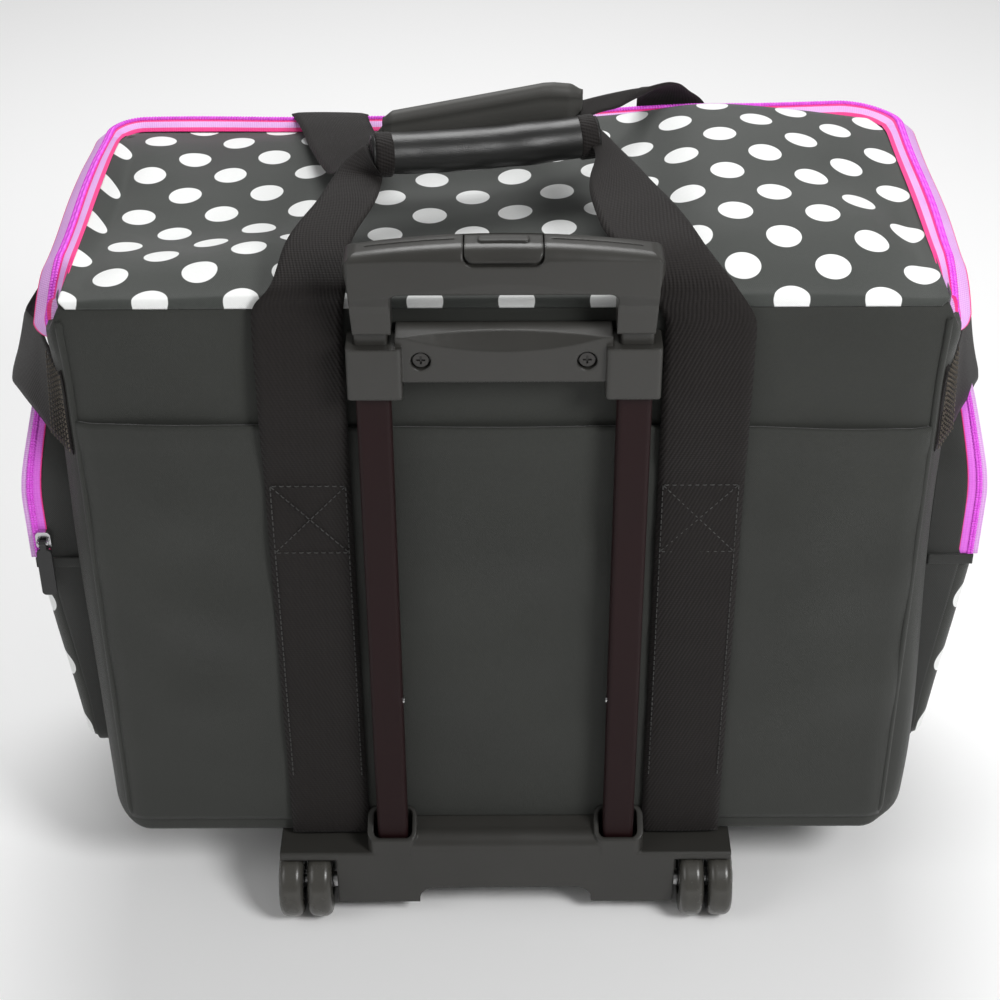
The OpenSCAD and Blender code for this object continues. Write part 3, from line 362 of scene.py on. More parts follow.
@dataclass(frozen=True)
class Webbing:
    """Polyester webbing: steep twill lines, fine ribs across and faint bands along."""

    name: str
    colour: Colour
    rib: float = 0.0016
    twill: float = 0.0022
    band: float = 0.0042
    zigzag: float = 0.0065
    relief: float = 0.0003
    shine: float = 0.14

    def make(self) -> bpy.types.Material:
        """Build the material. UV u runs across the webbing and v along it.

        Returns:
            The material.
        """
        m = Maker(self.name)
        u, v = m.uv()
        ribs = v.ridge(self.rib)
        chevron = (v + u.wave(self.zigzag).abs() * 0.0012).ridge(self.rib / 2)
        bands = u.ridge(self.band)
        fuzz = m.noise(900.0, 2.0)
        cloud = m.noise(14.0, 3.0)
        twill = (u + v * 0.42).ridge(self.twill)
        tone = ribs * 0.12 + twill * 0.3 + bands * 0.08 + fuzz * 0.25 + cloud * 0.25
        colour = m.mix(tone, rgba(self.colour, 0.6), rgba(self.colour, 1.45))
        height = ribs * 0.25 + twill * 0.55 + chevron * 0.15 + bands * 0.1 + fuzz * 0.2
        return m.finish(
            colour,
            0.55 + fuzz * 0.15,
            height,
            self.relief,
            Sheen_Weight=0.06,
            Sheen_Roughness=0.45,
            Specular_IOR_Level=self.shine,
        )


@dataclass(frozen=True)
class Tape:
    """Woven zip tape with a faint rib and an edge of another colour, or the coil on it."""

    name: str
    colour: Colour
    light: Colour
    pitch: float = 0.0012
    gloss: float = 0.45
    edge: Optional[Colour] = None
    core: float = 0.003
    line: float = 0.0016
    relief: float = 0.00015

    def make(self) -> bpy.types.Material:
        """Build the material. UV v runs along the tape.

        Returns:
            The material.
        """
        m = Maker(self.name)
        u, v = m.uv()
        rib = v.ridge(self.pitch)
        line = u.ridge(self.line)
        cloud = m.noise(40.0, 2.0)
        tone = rib * 0.4 + line * 0.25 + cloud * 0.35
        colour = m.mix(tone, rgba(self.colour), rgba(self.light))
        if self.edge:
            mask = u.abs().step(self.core, self.core + 0.0008)
            edge = m.mix(tone, rgba(self.edge, 0.85), rgba(self.edge))
            colour = m.mix(mask, colour, edge)
        return m.finish(
            colour,
            self.gloss + cloud * 0.15,
            rib * 0.8 + line * 0.2,
            self.relief,
            Specular_IOR_Level=0.5,
        )


@dataclass(frozen=True)
class Moulded:
    """Moulded plastic or rubber with a fine spark-eroded grain and scuffs."""

    name: str
    colour: Colour
    gloss: float = 0.38
    grain: float = 0.00004
    edge: float = 0.0009
    metallic: float = 0.0
    shine: float = 0.5

    def make(self) -> bpy.types.Material:
        """Build the material on Object coordinates.

        Returns:
            The material.
        """
        m = Maker(self.name)
        cloud = m.noise(22.0, 4.0)
        fine = m.noise(1400.0, 1.0)
        scuff = m.noise(160.0, 5.0).step(0.62, 0.8)
        tone = cloud * 0.7 + fine * 0.3
        colour = m.mix(tone, rgba(self.colour, 0.8), rgba(self.colour, 1.25))
        return m.finish(
            colour,
            self.gloss + (cloud - 0.5) * 0.16 + scuff * 0.12,
            fine,
            self.grain,
            self.edge,
            Metallic=self.metallic,
            Specular_IOR_Level=self.shine,
        )


@dataclass(frozen=True)
class Vinyl:
    """Smooth black vinyl with long soft creases."""

    name: str
    colour: Colour
    relief: float = 0.0005

    def make(self) -> bpy.types.Material:
        """Build the material on Object coordinates.

        Returns:
            The material.
        """
        m = Maker(self.name)
        x, y, z = m.parts()
        stretched = m.node("ShaderNodeCombineXYZ", {}, {0: x * 0.25, 1: y, 2: z})
        crease = m.noise(120.0, 4.0, stretched)
        pores = m.noise(1700.0, 1.0)
        colour = m.mix(crease, rgba(self.colour, 0.7), rgba(self.colour, 1.3))
        return m.finish(
            colour,
            0.3 + crease * 0.16,
            crease * 0.8 + pores * 0.2,
            self.relief,
            Coat_Weight=0.1,
            Coat_Roughness=0.3,
        )


@dataclass(frozen=True)
class Board:
    """Pressed hardboard with fine fibres."""

    name: str
    colour: Colour
    relief: float = 0.0002

    def make(self) -> bpy.types.Material:
        """Build the material on Object coordinates.

        Returns:
            The material.
        """
        m = Maker(self.name)
        fibre = m.noise(500.0, 5.0)
        colour = m.mix(fibre, rgba(self.colour, 0.75), rgba(self.colour, 1.2))
        return m.finish(colour, 0.75, fibre, self.relief)


PRINT_WHITE: Colour = (0.86, 0.87, 0.86)
CLOTH_TONE: Colour = (0.0265, 0.028, 0.0247)
# The lid's tone is painted light: the same dotted cloth as the body, made lighter than CLOTH_TONE
# because the lid's top faces the lights
LID_TONE_LIT: Colour = (0.042, 0.046, 0.042)
WEB_TONE: Colour = (0.0138, 0.0118, 0.0112)
PINK: Colour = (0.92, 0.035, 0.26)

FINISHES = {
    "cloth": Twill("cloth", CLOTH_TONE),
    "gusset": Twill("gusset", (0.028, 0.029, 0.027), rib=0.0013),
    "dotted": Twill("dotted", CLOTH_TONE, dots=0.05, dot_shift=(0.0135, 0.014)),
    # the lid's finish carries that painted light on the lid's top
    "lid": Twill("lid", LID_TONE_LIT, dots=0.05, dot_shift=(0.007, 0.003)),
    "lining": Twill("lining", (0.07, 0.07, 0.074), rib=0.0008, sheen=0.1),
    "webbing": Webbing("webbing", WEB_TONE),
    "thread": Tape("thread", (0.045, 0.045, 0.044), (0.1, 0.1, 0.096)),
    # The zip tape's pale lilac-white is partly the tape's own lilac and partly a painted sheen: the
    # glare along its middle is painted into the colour
    "zip": Tape("zip", (0.56, 0.2, 0.62), (0.84, 0.56, 0.88), edge=PINK, core=0.0041),
    "zip_deep": Tape("zip_deep", (0.7, 0.1, 0.74), (0.84, 0.2, 0.85), edge=PINK, core=0.0019),
    "coil": Tape("coil", (0.62, 0.04, 0.62), (0.84, 0.13, 0.86), 0.0016, 0.3),
    "tan": Tape("tan", (0.1, 0.082, 0.062), (0.17, 0.145, 0.11)),
    "slider": Moulded("slider", (0.5, 0.5, 0.51), 0.25, 0.00001, 0.0003, 1.0),
    "pull": Moulded("pull", (0.014, 0.014, 0.014), 0.5, 0.0001, 0.0006),
    "plastic": Moulded("plastic", (0.032, 0.031, 0.028), 0.33, 0.00004, 0.002, shine=0.42),
    "tube": Moulded("tube", (0.014, 0.0048, 0.0053), 0.5, 0.00003, 0.0006, shine=0.16),
    "inner_tube": Moulded("inner_tube", (0.42, 0.42, 0.43), 0.3, 0.00001, 0.0004, 1.0),
    "steel": Moulded("steel", (0.5, 0.5, 0.5), 0.3, 0.00001, 0.0003, 1.0),
    "screw": Moulded("screw", (0.05, 0.048, 0.046), 0.4, 0.00001, 0.0004, 0.6),
    "wheel": Moulded("wheel", (0.05, 0.048, 0.042), 0.26, 0.00004, 0.0009),
    "vinyl": Vinyl("vinyl", (0.009, 0.009, 0.0085)),
    "pad": Moulded("pad", (0.046, 0.045, 0.041), 0.6, 0.0001, 0.0),
    "board": Board("board", (0.3, 0.22, 0.14)),
}
MATERIALS: dict[str, bpy.types.Material] = {}


def material(name: str) -> bpy.types.Material:
    """The finish of that name, made once.

    Args:
        name: key in FINISHES.

    Returns:
        The material.
    """
    if name not in MATERIALS:
        MATERIALS[name] = FINISHES[name].make()
    return MATERIALS[name]


# Frame and mesh tools


@dataclass
class Frame:
    """Driving sizes of the bag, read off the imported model."""

    half_w: float = 0.0
    half_d: float = 0.0
    height: float = 0.0
    lift: float = 0.0
    shift: float = 0.0

    def __post_init__(self) -> None:
        """Measure the body from its side panels."""
        low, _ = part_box("side_panel_left")
        _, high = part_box("side_panel_right")
        self.half_w = (high[0] - low[0]) * 500
        self.half_d = (high[1] - low[1]) * 500
        self.height = (high[2] - low[2]) * 1000
        self.lift = low[2] * 1000
        self.shift = (high[1] + low[1]) * 500

    def row(self, points: Array) -> Array:
        """Points in the bag's millimetres as metres in the row frame."""
        return (np.asarray(points, float) + [0.0, self.shift, self.lift]) / 1000

    def at(self, x: float, y: float, z: float) -> tuple[float, float, float]:
        """One point in the row frame."""
        return tuple(float(c) for c in self.row(np.array([x, y, z])))


F = Frame()

# Sizes that several pieces share, in millimetres
CORNER_RADIUS = 24.0
COIL_PITCH = 1.9
WEB_THICKNESS = 2.3

# How far the rim stands off its rest: far right up, far left down, near corners down
RIM_RIGHT = 4.5
RIM_LEFT = -4.0
RIM_CORNER = -16.0


def smooth(t: Array) -> Array:
    """Smooth step of t clipped to 0..1: 3t^2 - 2t^3."""
    t = np.clip(t, 0.0, 1.0)
    return t * t * (3 - 2 * t)


def bell(x: Array, centre: float, width: float) -> Array:
    """Gaussian hump of height 1."""
    return np.exp(-(((x - centre) / width) ** 2))


def curve(points: Sequence, count: int) -> Array:
    """Catmull-Rom curve through points, sampled evenly by arc length.

    Args:
        points: the points it runs through, one per row.
        count: number of samples.

    Returns:
        The samples, one per row.
    """
    p = np.asarray(points, float)
    p = np.vstack([2 * p[0] - p[1], p, 2 * p[-1] - p[-2]])
    t = np.linspace(0, 1, 24, endpoint=False)[None, :, None]
    a, b, c, d = (p[k : len(p) - 3 + k][:, None, :] for k in range(4))
    dense = 0.5 * (
        2 * b + (c - a) * t + (2 * a - 5 * b + 4 * c - d) * t**2 + (3 * b - a - 3 * c + d) * t**3
    )
    dense = np.vstack([dense.reshape(-1, p.shape[1]), p[-2]])
    reach = lengths(dense)
    return sample(dense, reach, np.linspace(0, reach[-1], count))


def lengths(points: Array) -> Array:
    """Arc length along a line of points, from 0."""
    return np.concatenate([[0], np.cumsum(np.linalg.norm(np.diff(points, axis=0), axis=1))])


def sample(points: Array, reach: Array, want: Array) -> Array:
    """Places on a line of points, whose arc lengths are reach, at the lengths wanted."""
    return np.stack([np.interp(want, reach, column) for column in points.T], -1)


def grid_uv(u: Array, v: Array) -> Array:
    """UV of a grid with u along its columns and v along its rows."""
    return np.stack(np.broadcast_arrays(u[None, :], v[:, None]), -1)


def wrap(front: Array, rear: Array) -> Array:
    """Rows of a front, then of a rear backwards, closed by the front's first row."""
    return np.concatenate([front, rear[::-1], front[:1]], 0)


def circle(radius: float, sides: int) -> Array:
    """Closed round section of that many sides."""
    turn = np.linspace(0, 2 * math.pi, sides + 1)
    return np.stack([radius * np.cos(turn), radius * np.sin(turn)], 1)


def unit(v: Array) -> Array:
    """Vectors scaled to length 1."""
    return v / np.maximum(np.linalg.norm(v, axis=-1, keepdims=True), 1e-9)


def sag(x: Array, y: Array) -> Array:
    """Height of the rim over its rest, by smooth steps in x and y.

    Args:
        x: place across, from the bag's middle.
        y: depth, from the bag's middle.

    Returns:
        Height in millimetres.
    """
    far = smooth((y - 50) / 70)
    right = RIM_RIGHT * smooth((x - 30) / 110) * smooth((252 - x) / 35)
    near = smooth((np.abs(x) - 242) / 8) * smooth((-72 - y) / 34)
    return far * (right + RIM_LEFT * smooth((10 - x) / 90)) + RIM_CORNER * near


@dataclass
class Ripple:
    """Small seeded waves for cloth: a sum of sines of random direction and phase."""

    seed: int
    count: int = 7
    short: float = 60.0
    long: float = 220.0

    def __call__(self, x: Array, y: Array) -> Array:
        """Height of about -1 to 1: the sum of sines over the root of their number.

        Args:
            x: first place, in millimetres.
            y: second place, in millimetres.

        Returns:
            The waves' height.
        """
        rng = np.random.default_rng(self.seed)
        total = 0.0
        for _ in range(self.count):
            wave = rng.uniform(self.short, self.long)
            turn, phase = rng.uniform(0, 2 * math.pi, 2)
            along = x * math.cos(turn) + y * math.sin(turn)
            total = total + np.sin(2 * math.pi * along / wave + phase)
        return total / math.sqrt(self.count)


def piece(name: str, points: Array, faces: list, finish: str) -> bpy.types.Object:
    """Mesh from points and faces, smooth, with an empty UV map and its finish.

    Args:
        name: name of the piece.
        points: array (..., 3) in the bag's millimetres.
        faces: lists of indices into the points.
        finish: name of the finish.

    Returns:
        The piece, in the row frame.
    """
    mesh = bpy.data.meshes.new(name)
    mesh.from_pydata(F.row(points.reshape(-1, 3)).tolist(), [], faces)
    mesh.uv_layers.new(name="cloth")
    mesh.shade_smooth()
    mesh.materials.append(material(finish))
    obj = bpy.data.objects.new(name, mesh)
    bpy.context.scene.collection.objects.link(obj)
    return obj


def surface(
    name: str,
    points: Array,
    uv: Array,
    finish: str,
    closed: bool = False,
    caps: bool = False,
    outward: bool = True,
) -> bpy.types.Object:
    """Mesh on a grid of points, with its UV in metres.

    Args:
        name: name of the piece.
        points: grid (n, m, 3) in the bag's millimetres.
        uv: grid (n, m, 2) in millimetres.
        finish: name of the finish.
        closed: merge coincident points, for a grid that meets itself.
        caps: close the first and last row with a face each.
        outward: recalculate normals so that faces point outwards.

    Returns:
        The piece, in the row frame.
    """
    n, m = points.shape[:2]
    index = np.arange(n * m).reshape(n, m)
    quads = np.stack([index[:-1, :-1], index[1:, :-1], index[1:, 1:], index[:-1, 1:]], -1)
    faces = quads.reshape(-1, 4).tolist()
    if caps:
        faces += [index[0, :-1].tolist(), index[-1, :-1][::-1].tolist()]
    obj = piece(name, points, faces, finish)
    mesh = obj.data
    loops = np.empty(len(mesh.loops), int)
    mesh.loops.foreach_get("vertex_index", loops)
    flat = (uv.reshape(-1, 2)[loops] / 1000).astype(np.float32).ravel()
    mesh.uv_layers["cloth"].data.foreach_set("uv", flat)
    if closed or outward:
        work = bmesh.new()
        work.from_mesh(mesh)
        if closed:
            bmesh.ops.remove_doubles(work, verts=work.verts, dist=1e-6)
            bmesh.ops.dissolve_degenerate(work, edges=work.edges, dist=1e-6)
        if outward:
            bmesh.ops.recalc_face_normals(work, faces=work.faces)
        work.to_mesh(mesh)
        work.free()
    return obj


def thicken(obj: bpy.types.Object, thickness: float, offset: float = -1.0) -> bpy.types.Object:
    """Give an open sheet a wall.

    Args:
        obj: the sheet.
        thickness: of the wall, in millimetres.
        offset: -1 for a wall behind the sheet, 0 for one on both sides.

    Returns:
        The same piece.
    """
    wall = obj.modifiers.new("wall", "SOLIDIFY")
    wall.thickness = thickness / 1000
    wall.offset = offset
    wall.use_even_offset = False
    return obj


def join(name: str, parts: Sequence[bpy.types.Object]) -> bpy.types.Object:
    """Join meshes into one object, keeping their materials and UVs.

    Args:
        name: name of the whole.
        parts: the meshes; the first one takes in the rest.

    Returns:
        The whole.
    """
    first = parts[0]
    with bpy.context.temp_override(
        active_object=first, object=first, selected_objects=parts, selected_editable_objects=parts
    ):
        bpy.ops.object.join()
    first.name = name
    first.data.name = name
    return first


def loop_profile(width: float, height: float, edge: float = 0.45, rounds: int = 5) -> Array:
    """Closed rounded rectangle: its corners are quarter circles of edge times the shorter side.

    Args:
        width: size along the first axis.
        height: size along the second axis.
        edge: share of the shorter side that a corner's radius takes.
        rounds: points on a corner.

    Returns:
        Points (n, 2); the last one repeats the first.
    """
    r = min(width, height) * edge
    out = []
    for k, (sx, sy) in enumerate(((1, -1), (1, 1), (-1, 1), (-1, -1))):
        a = math.pi / 2 * (k - 1 + np.linspace(0, 1, rounds))
        x = sx * (width / 2 - r) + r * np.cos(a)
        y = sy * (height / 2 - r) + r * np.sin(a)
        out.append(np.stack([x, y], 1))
    ring = np.vstack(out)
    return np.vstack([ring, ring[:1]])


def sweep(
    name: str,
    path: Array,
    across: Array,
    section: Array,
    finish: str,
    up: Optional[Array] = None,
    scale: Optional[Array] = None,
    flat: bool = False,
) -> bpy.types.Object:
    """Carry a closed section along a path: point = path + across * sx + normal * sy.

    Args:
        name: name of the piece.
        path: (n, 3) points in millimetres.
        across: (n, 3) or (3,) direction of the section's first axis.
        section: closed (m, 2) section.
        finish: name of the finish.
        up: direction of the second axis, or None for along x across.
        scale: factor on the section at each point.
        flat: measure u across from the middle, not round the section.

    Returns:
        The closed piece.
    """
    along = unit(np.gradient(path, axis=0))
    across = np.broadcast_to(np.asarray(across, float), path.shape)
    across = unit(across - along * np.sum(across * along, 1, keepdims=True))
    up = unit(np.cross(across, along)) if up is None else np.broadcast_to(up, path.shape)
    size = np.ones(len(path)) if scale is None else scale
    sec = section[None] * size[:, None, None]
    points = path[:, None] + across[:, None] * sec[..., :1] + up[:, None] * sec[..., 1:2]
    uv = grid_uv(section[:, 0] if flat else lengths(section), lengths(path))
    return surface(name, points, uv, finish, closed=True, caps=True)


def coil(
    name: str,
    path: Array,
    across: Sequence,
    radius: float,
    sides: int,
    ridge: float,
    taper: object = 1.0,
) -> bpy.types.Object:
    """Nylon coil as a ridged tube: radius (1 + ridge cos(2 pi s / pitch)) at arc length s.

    Args:
        name: name of the piece.
        path: (n, 3) points in millimetres.
        across: direction of the section's first axis.
        radius: mean radius in millimetres.
        sides: sides of the round section.
        ridge: height of a ridge as a share of the radius.
        taper: factor on the radius at each point.

    Returns:
        The closed piece.
    """
    size = (1 + ridge * np.cos(2 * math.pi * lengths(path) / COIL_PITCH)) * taper
    return sweep(name, path, across, circle(radius, sides), "coil", scale=size)


def ribbon(
    name: str,
    left: Sequence,
    right: Sequence,
    thickness: float = 1.8,
    count: int = 90,
    camber: float = 0.0,
    fade: float = 0.0,
) -> bpy.types.Object:
    """Webbing between two edge curves, as a closed strip.

    Args:
        name: name of the piece.
        left: points of one edge.
        right: points of the other edge, as many as left.
        thickness: thickness in millimetres.
        count: rows along the strip.
        camber: height of the strip's middle over its edges.
        fade: random lengthwise wave in millimetres.

    Returns:
        The closed strip, with UV u across and v along.
    """
    both = curve(np.hstack([np.asarray(left, float), np.asarray(right, float)]), count)
    a, b = both[:, :3], both[:, 3:]
    middle = (a + b) / 2
    along = unit(np.gradient(middle, axis=0))
    normal = unit(np.cross(along, b - a))
    u = np.linspace(0, 1, 13)
    bow = camber * (1 - (2 * u - 1) ** 2)[None] * np.ones((count, 1))
    if fade:
        v = lengths(middle)
        bow = bow + fade * Ripple(len(name), 5, 30, 90)(v[:, None], u[None] * 40)
    top = a[:, None] + (b - a)[:, None] * u[None, :, None] + normal[:, None] * bow[..., None]
    half = normal[:, None] * thickness / 2
    rim = np.sqrt(np.clip(1 - (2 * u - 1) ** 8, 0.06, 1))[None, :, None]
    ring = np.concatenate([top + half * rim, (top - half * rim)[:, ::-1]], 1)
    ring = np.concatenate([ring, ring[:, :1]], 1)
    width = np.linalg.norm(b - a, axis=1).mean()
    us = np.concatenate([u, u[::-1], u[:1]]) * width
    uv = grid_uv(us, lengths(middle))
    return surface(name, ring, uv, "webbing", closed=True, caps=True)


def stitches(
    name: str,
    path: Array,
    normal: Array,
    length: float = 2.6,
    gap: float = 1.4,
    size: float = 0.35,
    finish: str = "thread",
) -> bpy.types.Object:
    """Row of short thread capsules along a path, lying on the cloth.

    Args:
        name: name of the piece.
        path: (n, 3) points in millimetres.
        normal: (3,) or (n, 3) direction out of the cloth.
        length: length of a stitch.
        gap: space between stitches.
        size: half thickness of the thread.
        finish: name of the finish.

    Returns:
        All the stitches as one piece.
    """
    reach = lengths(path)
    count = max(int(reach[-1] // (length + gap)), 1)
    start = (np.arange(count) + 0.2) * reach[-1] / count
    t = np.linspace(0, length, 4)
    want = start[:, None] + t[None]
    spine = sample(path, reach, want)
    lift = sample(np.broadcast_to(np.asarray(normal, float), path.shape), reach, want)
    spine = spine + lift * (size * np.array([-0.6, 0.6, 0.6, -0.6]))[None, :, None]
    along = unit(spine[:, -1:] - spine[:, :1])
    side = unit(np.cross(along, lift))
    a = np.linspace(0, 2 * math.pi, 6, endpoint=False)
    ring = (
        side[:, :, None] * np.cos(a)[None, None, :, None]
        + lift[:, :, None] * np.sin(a)[None, None, :, None]
    ) * size
    points = spine[:, :, None] + ring
    index = np.arange(points[..., 0].size).reshape(points.shape[:3])
    turned = np.roll(index, -1, axis=2)
    quads = np.stack([index[:, :-1], turned[:, :-1], turned[:, 1:], index[:, 1:]], -1)
    faces = quads.reshape(-1, 4).tolist()
    faces += index[:, 0, ::-1].tolist() + index[:, -1].tolist()
    return piece(name, points, faces, finish)


def outline(a: float, b: float, r: float, straight: int, arc: int) -> tuple[Array, Array]:
    """Rounded rectangle from the middle of its near side, turning right.

    Args:
        a: half size across.
        b: half size in depth.
        r: radius of the corners.
        straight: points on a straight side.
        arc: points on a corner.

    Returns:
        Points (n, 2) and outward normals (n, 2); the last point repeats the first.
    """
    corners = ((a - r, r - b, -90), (a - r, b - r, 0), (r - a, b - r, 90), (r - a, r - b, 180))
    points, normals = [], []
    for x, y, start in corners:
        turn = np.radians(start + np.linspace(0, 90, arc))
        normals.append(np.stack([np.cos(turn), np.sin(turn)], 1))
        points.append(normals[-1] * r + [x, y])
    ring, norm = [], []
    for k in range(4):
        before, after = points[k - 1][-1], points[k][0]
        t = np.linspace(0, 1, straight + 2)[1:-1, None]
        ring += [before + (after - before) * t, points[k]]
        norm += [np.repeat(normals[k][:1], straight, 0), normals[k]]
    ring, norm = np.vstack(ring), np.vstack(norm)
    first = straight // 2
    order = np.concatenate([np.arange(first, len(ring)), np.arange(first + 1)])
    return ring[order], norm[order]


def settle(obj: bpy.types.Object, body: str, slot: str, *nodes: str) -> bpy.types.Object:
    """Ride a piece on a body and hide the CAD nodes that it takes the place of.

    Args:
        obj: the piece.
        body: name of the body.
        slot: not used.
        nodes: names of the CAD nodes, if any.

    Returns:
        The same piece.
    """
    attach(obj, body)
    if nodes:
        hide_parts(*nodes)
    LOG.info("%s rides on %s", obj.name, body)
    return obj


def dress(finish: str, slot: str, *nodes: str) -> None:
    """Give CAD nodes a finish.

    Args:
        finish: name of the finish.
        slot: not used.
        nodes: names of the nodes.
    """
    for node in nodes:
        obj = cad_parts[node]
        obj.data.materials.clear()
        obj.data.materials.append(material(finish))
        LOG.info("%s keeps its CAD shape", node)


# Soft pieces


@dataclass
class BodyShell:
    """The padded tub: foam panels in twill, piped where the sides meet the front and back."""

    wall: float = 5.4
    floor: float = 5.6
    floor_inset: float = 14.0
    foot_radius: float = 21.0
    seam_turn: float = 60.0
    welt: float = 2.1

    def swell(self, x: Array, y: Array, z: Array) -> Array:
        """Millimetres that the cloth stands out: broad pads, soft folds low on the sides.

        Args:
            x: place across.
            y: depth.
            z: height.

        Returns:
            Distance out of the plain panels.
        """
        side = smooth((np.abs(x) - 235) / 15)
        up = np.clip(z / F.height, 0, 1)
        pad = np.sin(math.pi * up) ** 0.6
        folds = Ripple(5, 6, 45, 150)(y * 1.3 + x, z * 0.7)
        back = Ripple(9, 6, 110, 260)(x, z) * 0.6
        flare = 5.0 * smooth((x - 243) / 10) * bell(z, 50, 75)
        flare = flare + 4.0 * smooth((z - F.height + 55) / 50) * self.ear(x, y)
        return side * pad * (1.2 + folds) + (1 - side) * pad * back + flare

    def ear(self, x: Array, y: Array) -> Array:
        """Share of the outward pull on the back panel's upper corners."""
        return bell(np.abs(x), 247, 7) * smooth((-108 - y) / 10)

    def loop(self, inset: float, z: Array, bulge: float) -> tuple[Array, Array]:
        """One level of the tub at a distance inside its outline.

        Args:
            inset: distance inside the outline.
            z: height of the level.
            bulge: share of the swell that it takes.

        Returns:
            Points and outward normals of the ring.
        """
        r = max(CORNER_RADIUS - inset, 0.8)
        ring, norm = outline(F.half_w - inset, F.half_d - inset, r, 44, 12)
        points = np.column_stack([ring, np.full(len(ring), z)])
        points[:, :2] += norm * (self.swell(*points.T) * bulge)[:, None]
        points[:, 2] += sag(ring[:, 0], ring[:, 1]) * smooth((z - F.height + 40) / 40)
        return points, norm

    def foot(self, a: float) -> Array:
        """Ring at angle a round the foot's edge: radius 4 + 17 nx^2, so the sides round more.

        Args:
            a: angle in radians, from 0 underneath to a right angle on the panel.

        Returns:
            Points of the ring.
        """
        plain, norm = self.loop(0, 0, 0)
        r = 4 + (self.foot_radius - 4) * norm[:, 0] ** 2
        plain[:, :2] -= norm * (r * (1 - math.sin(a)))[:, None]
        plain[:, 2] = r * (1 - math.cos(a))
        plain[:, :2] += norm * (self.swell(*plain.T) * math.sin(a))[:, None]
        return plain

    def build(self) -> None:
        """Build the tub as one closed double wall, and its piping."""
        r = self.foot_radius
        turn = np.linspace(0, math.pi / 2, 9)
        levels = [(0.0, z, 1.0) for z in np.linspace(r + 6, F.height - 3, 60)]
        levels += [(0.8, F.height - 0.6, 0.6), (2.6, F.height, 0.4), (4.6, F.height - 0.6, 0.4)]
        levels += [(self.wall, z, 0.3) for z in np.linspace(F.height - 3, r, 14)]
        insets = (self.wall + self.floor_inset, F.half_d - 1)
        levels += [(inset, self.floor, 0.0) for inset in insets]
        rings = [self.loop(F.half_d - 1, 0, 0)[0], self.loop(70, 0, 0)[0]]
        rings += [self.foot(a) for a in turn] + [self.loop(*level)[0] for level in levels]
        points = np.stack(rings)
        uv = grid_uv(lengths(self.loop(0, 0, 0)[0]), lengths(points[:, 0]))
        tub = surface("body_shell", points, uv, "cloth", closed=True, caps=True)
        nodes = ("back_panel", "front_panel", "side_panel_left", "side_panel_right", "bottom_panel")
        settle(tub, "bag", "cloth", *nodes)
        self.piping()

    def corner(self, z: Array, sx: int, sy: int, out: float) -> Array:
        """Line up a rounded corner at the seam, seam_turn degrees round from the side.

        Args:
            z: heights of its points.
            sx: sign of x.
            sy: sign of y.
            out: distance out of the cloth.

        Returns:
            Points (n, 3).
        """
        a = math.radians(self.seam_turn)
        r = self.foot_radius
        inset = np.where(z < r, r - np.sqrt(np.clip(r * r - (r - z) ** 2, 0, None)), 0.0)
        reach = CORNER_RADIUS + out - inset * 0.7
        reach = reach + 2.5 * (sy < 0) * smooth((z - F.height + 55) / 50)
        x = sx * (F.half_w - CORNER_RADIUS + reach * math.cos(a) - inset * 0.6)
        y = sy * (F.half_d - CORNER_RADIUS + reach * math.sin(a))
        return np.stack([x, y, z], 1)

    def piping(self) -> None:
        """Build the piping up the four corner seams."""
        section = loop_profile(2 * self.welt, 2 * self.welt, 0.5, 4)
        for side in Side:
            for sy, word in ((-1, "back"), (1, "front")):
                z = np.linspace(7.0, F.height - 9.0 + 7.0 * (sy > 0), 90)
                path = self.corner(z, side.value, sy, 0.6)
                name = f"piping_{word}_{side.name.lower()}"
                welt = sweep(name, path, [1.0, 0.0, 0.0], section, "cloth")
                settle(welt, "bag", "cloth")


@dataclass
class Inside:
    """Lining, and the straps that hold the machine down."""

    inset: float = 6.6
    top: float = 384.0
    strap_x: float = 110.0
    strap_half: float = 19.0

    def build(self) -> None:
        """Build the lining tub and the two straps across the board."""
        levels = [(self.inset, z) for z in np.linspace(self.top, 22, 30)]
        levels += [(self.inset + 3, 13.0), (self.inset + 8, 8.6), (F.half_d - 1, 8.0)]
        rings, v = [], lengths(np.array([[a, b, 0] for a, b in levels]))
        for inset, z in levels:
            r = max(CORNER_RADIUS - inset, 0.8)
            ring, norm = outline(F.half_w - inset, F.half_d - inset, r, 40, 8)
            wave = 0.5 * Ripple(21, 6, 40, 120)(ring[:, 0] + ring[:, 1], z)
            fade = smooth((z - 30) / 60) * smooth((self.top - z) / 30)
            rings.append(np.column_stack([ring - norm * (wave * fade)[:, None], [z] * len(ring)]))
        points = np.stack(rings)
        uv = grid_uv(lengths(points[0]), v)
        sheet = surface("lining_cloth", points, uv, "lining", closed=True, outward=False)
        thicken(sheet, 0.8, 0.0)
        settle(sheet, "bag", "lining", "lining")
        low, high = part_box("base_board")
        top = high[2] * 1000 - F.lift
        reach = (high[1] - low[1]) * 500
        ys = [-reach, -reach + 3, -70, -36, 0, 36, 70, reach - 3, reach]
        lift = [0.6, 1.6, 1.5, 1.7, 1.4, 1.7, 1.5, 1.6, 0.6]
        straps = []
        for side in Side:
            x = side.value * self.strap_x
            left = [(x - self.strap_half, y, top + h) for y, h in zip(ys, lift)]
            right = [(x + self.strap_half, y, top + h) for y, h in zip(ys, lift)]
            straps.append(ribbon(f"tie_{side.name.lower()}", left, right))
        settle(join("tie_down_webbing", straps), "bag", "webbing", "tie_down_straps")


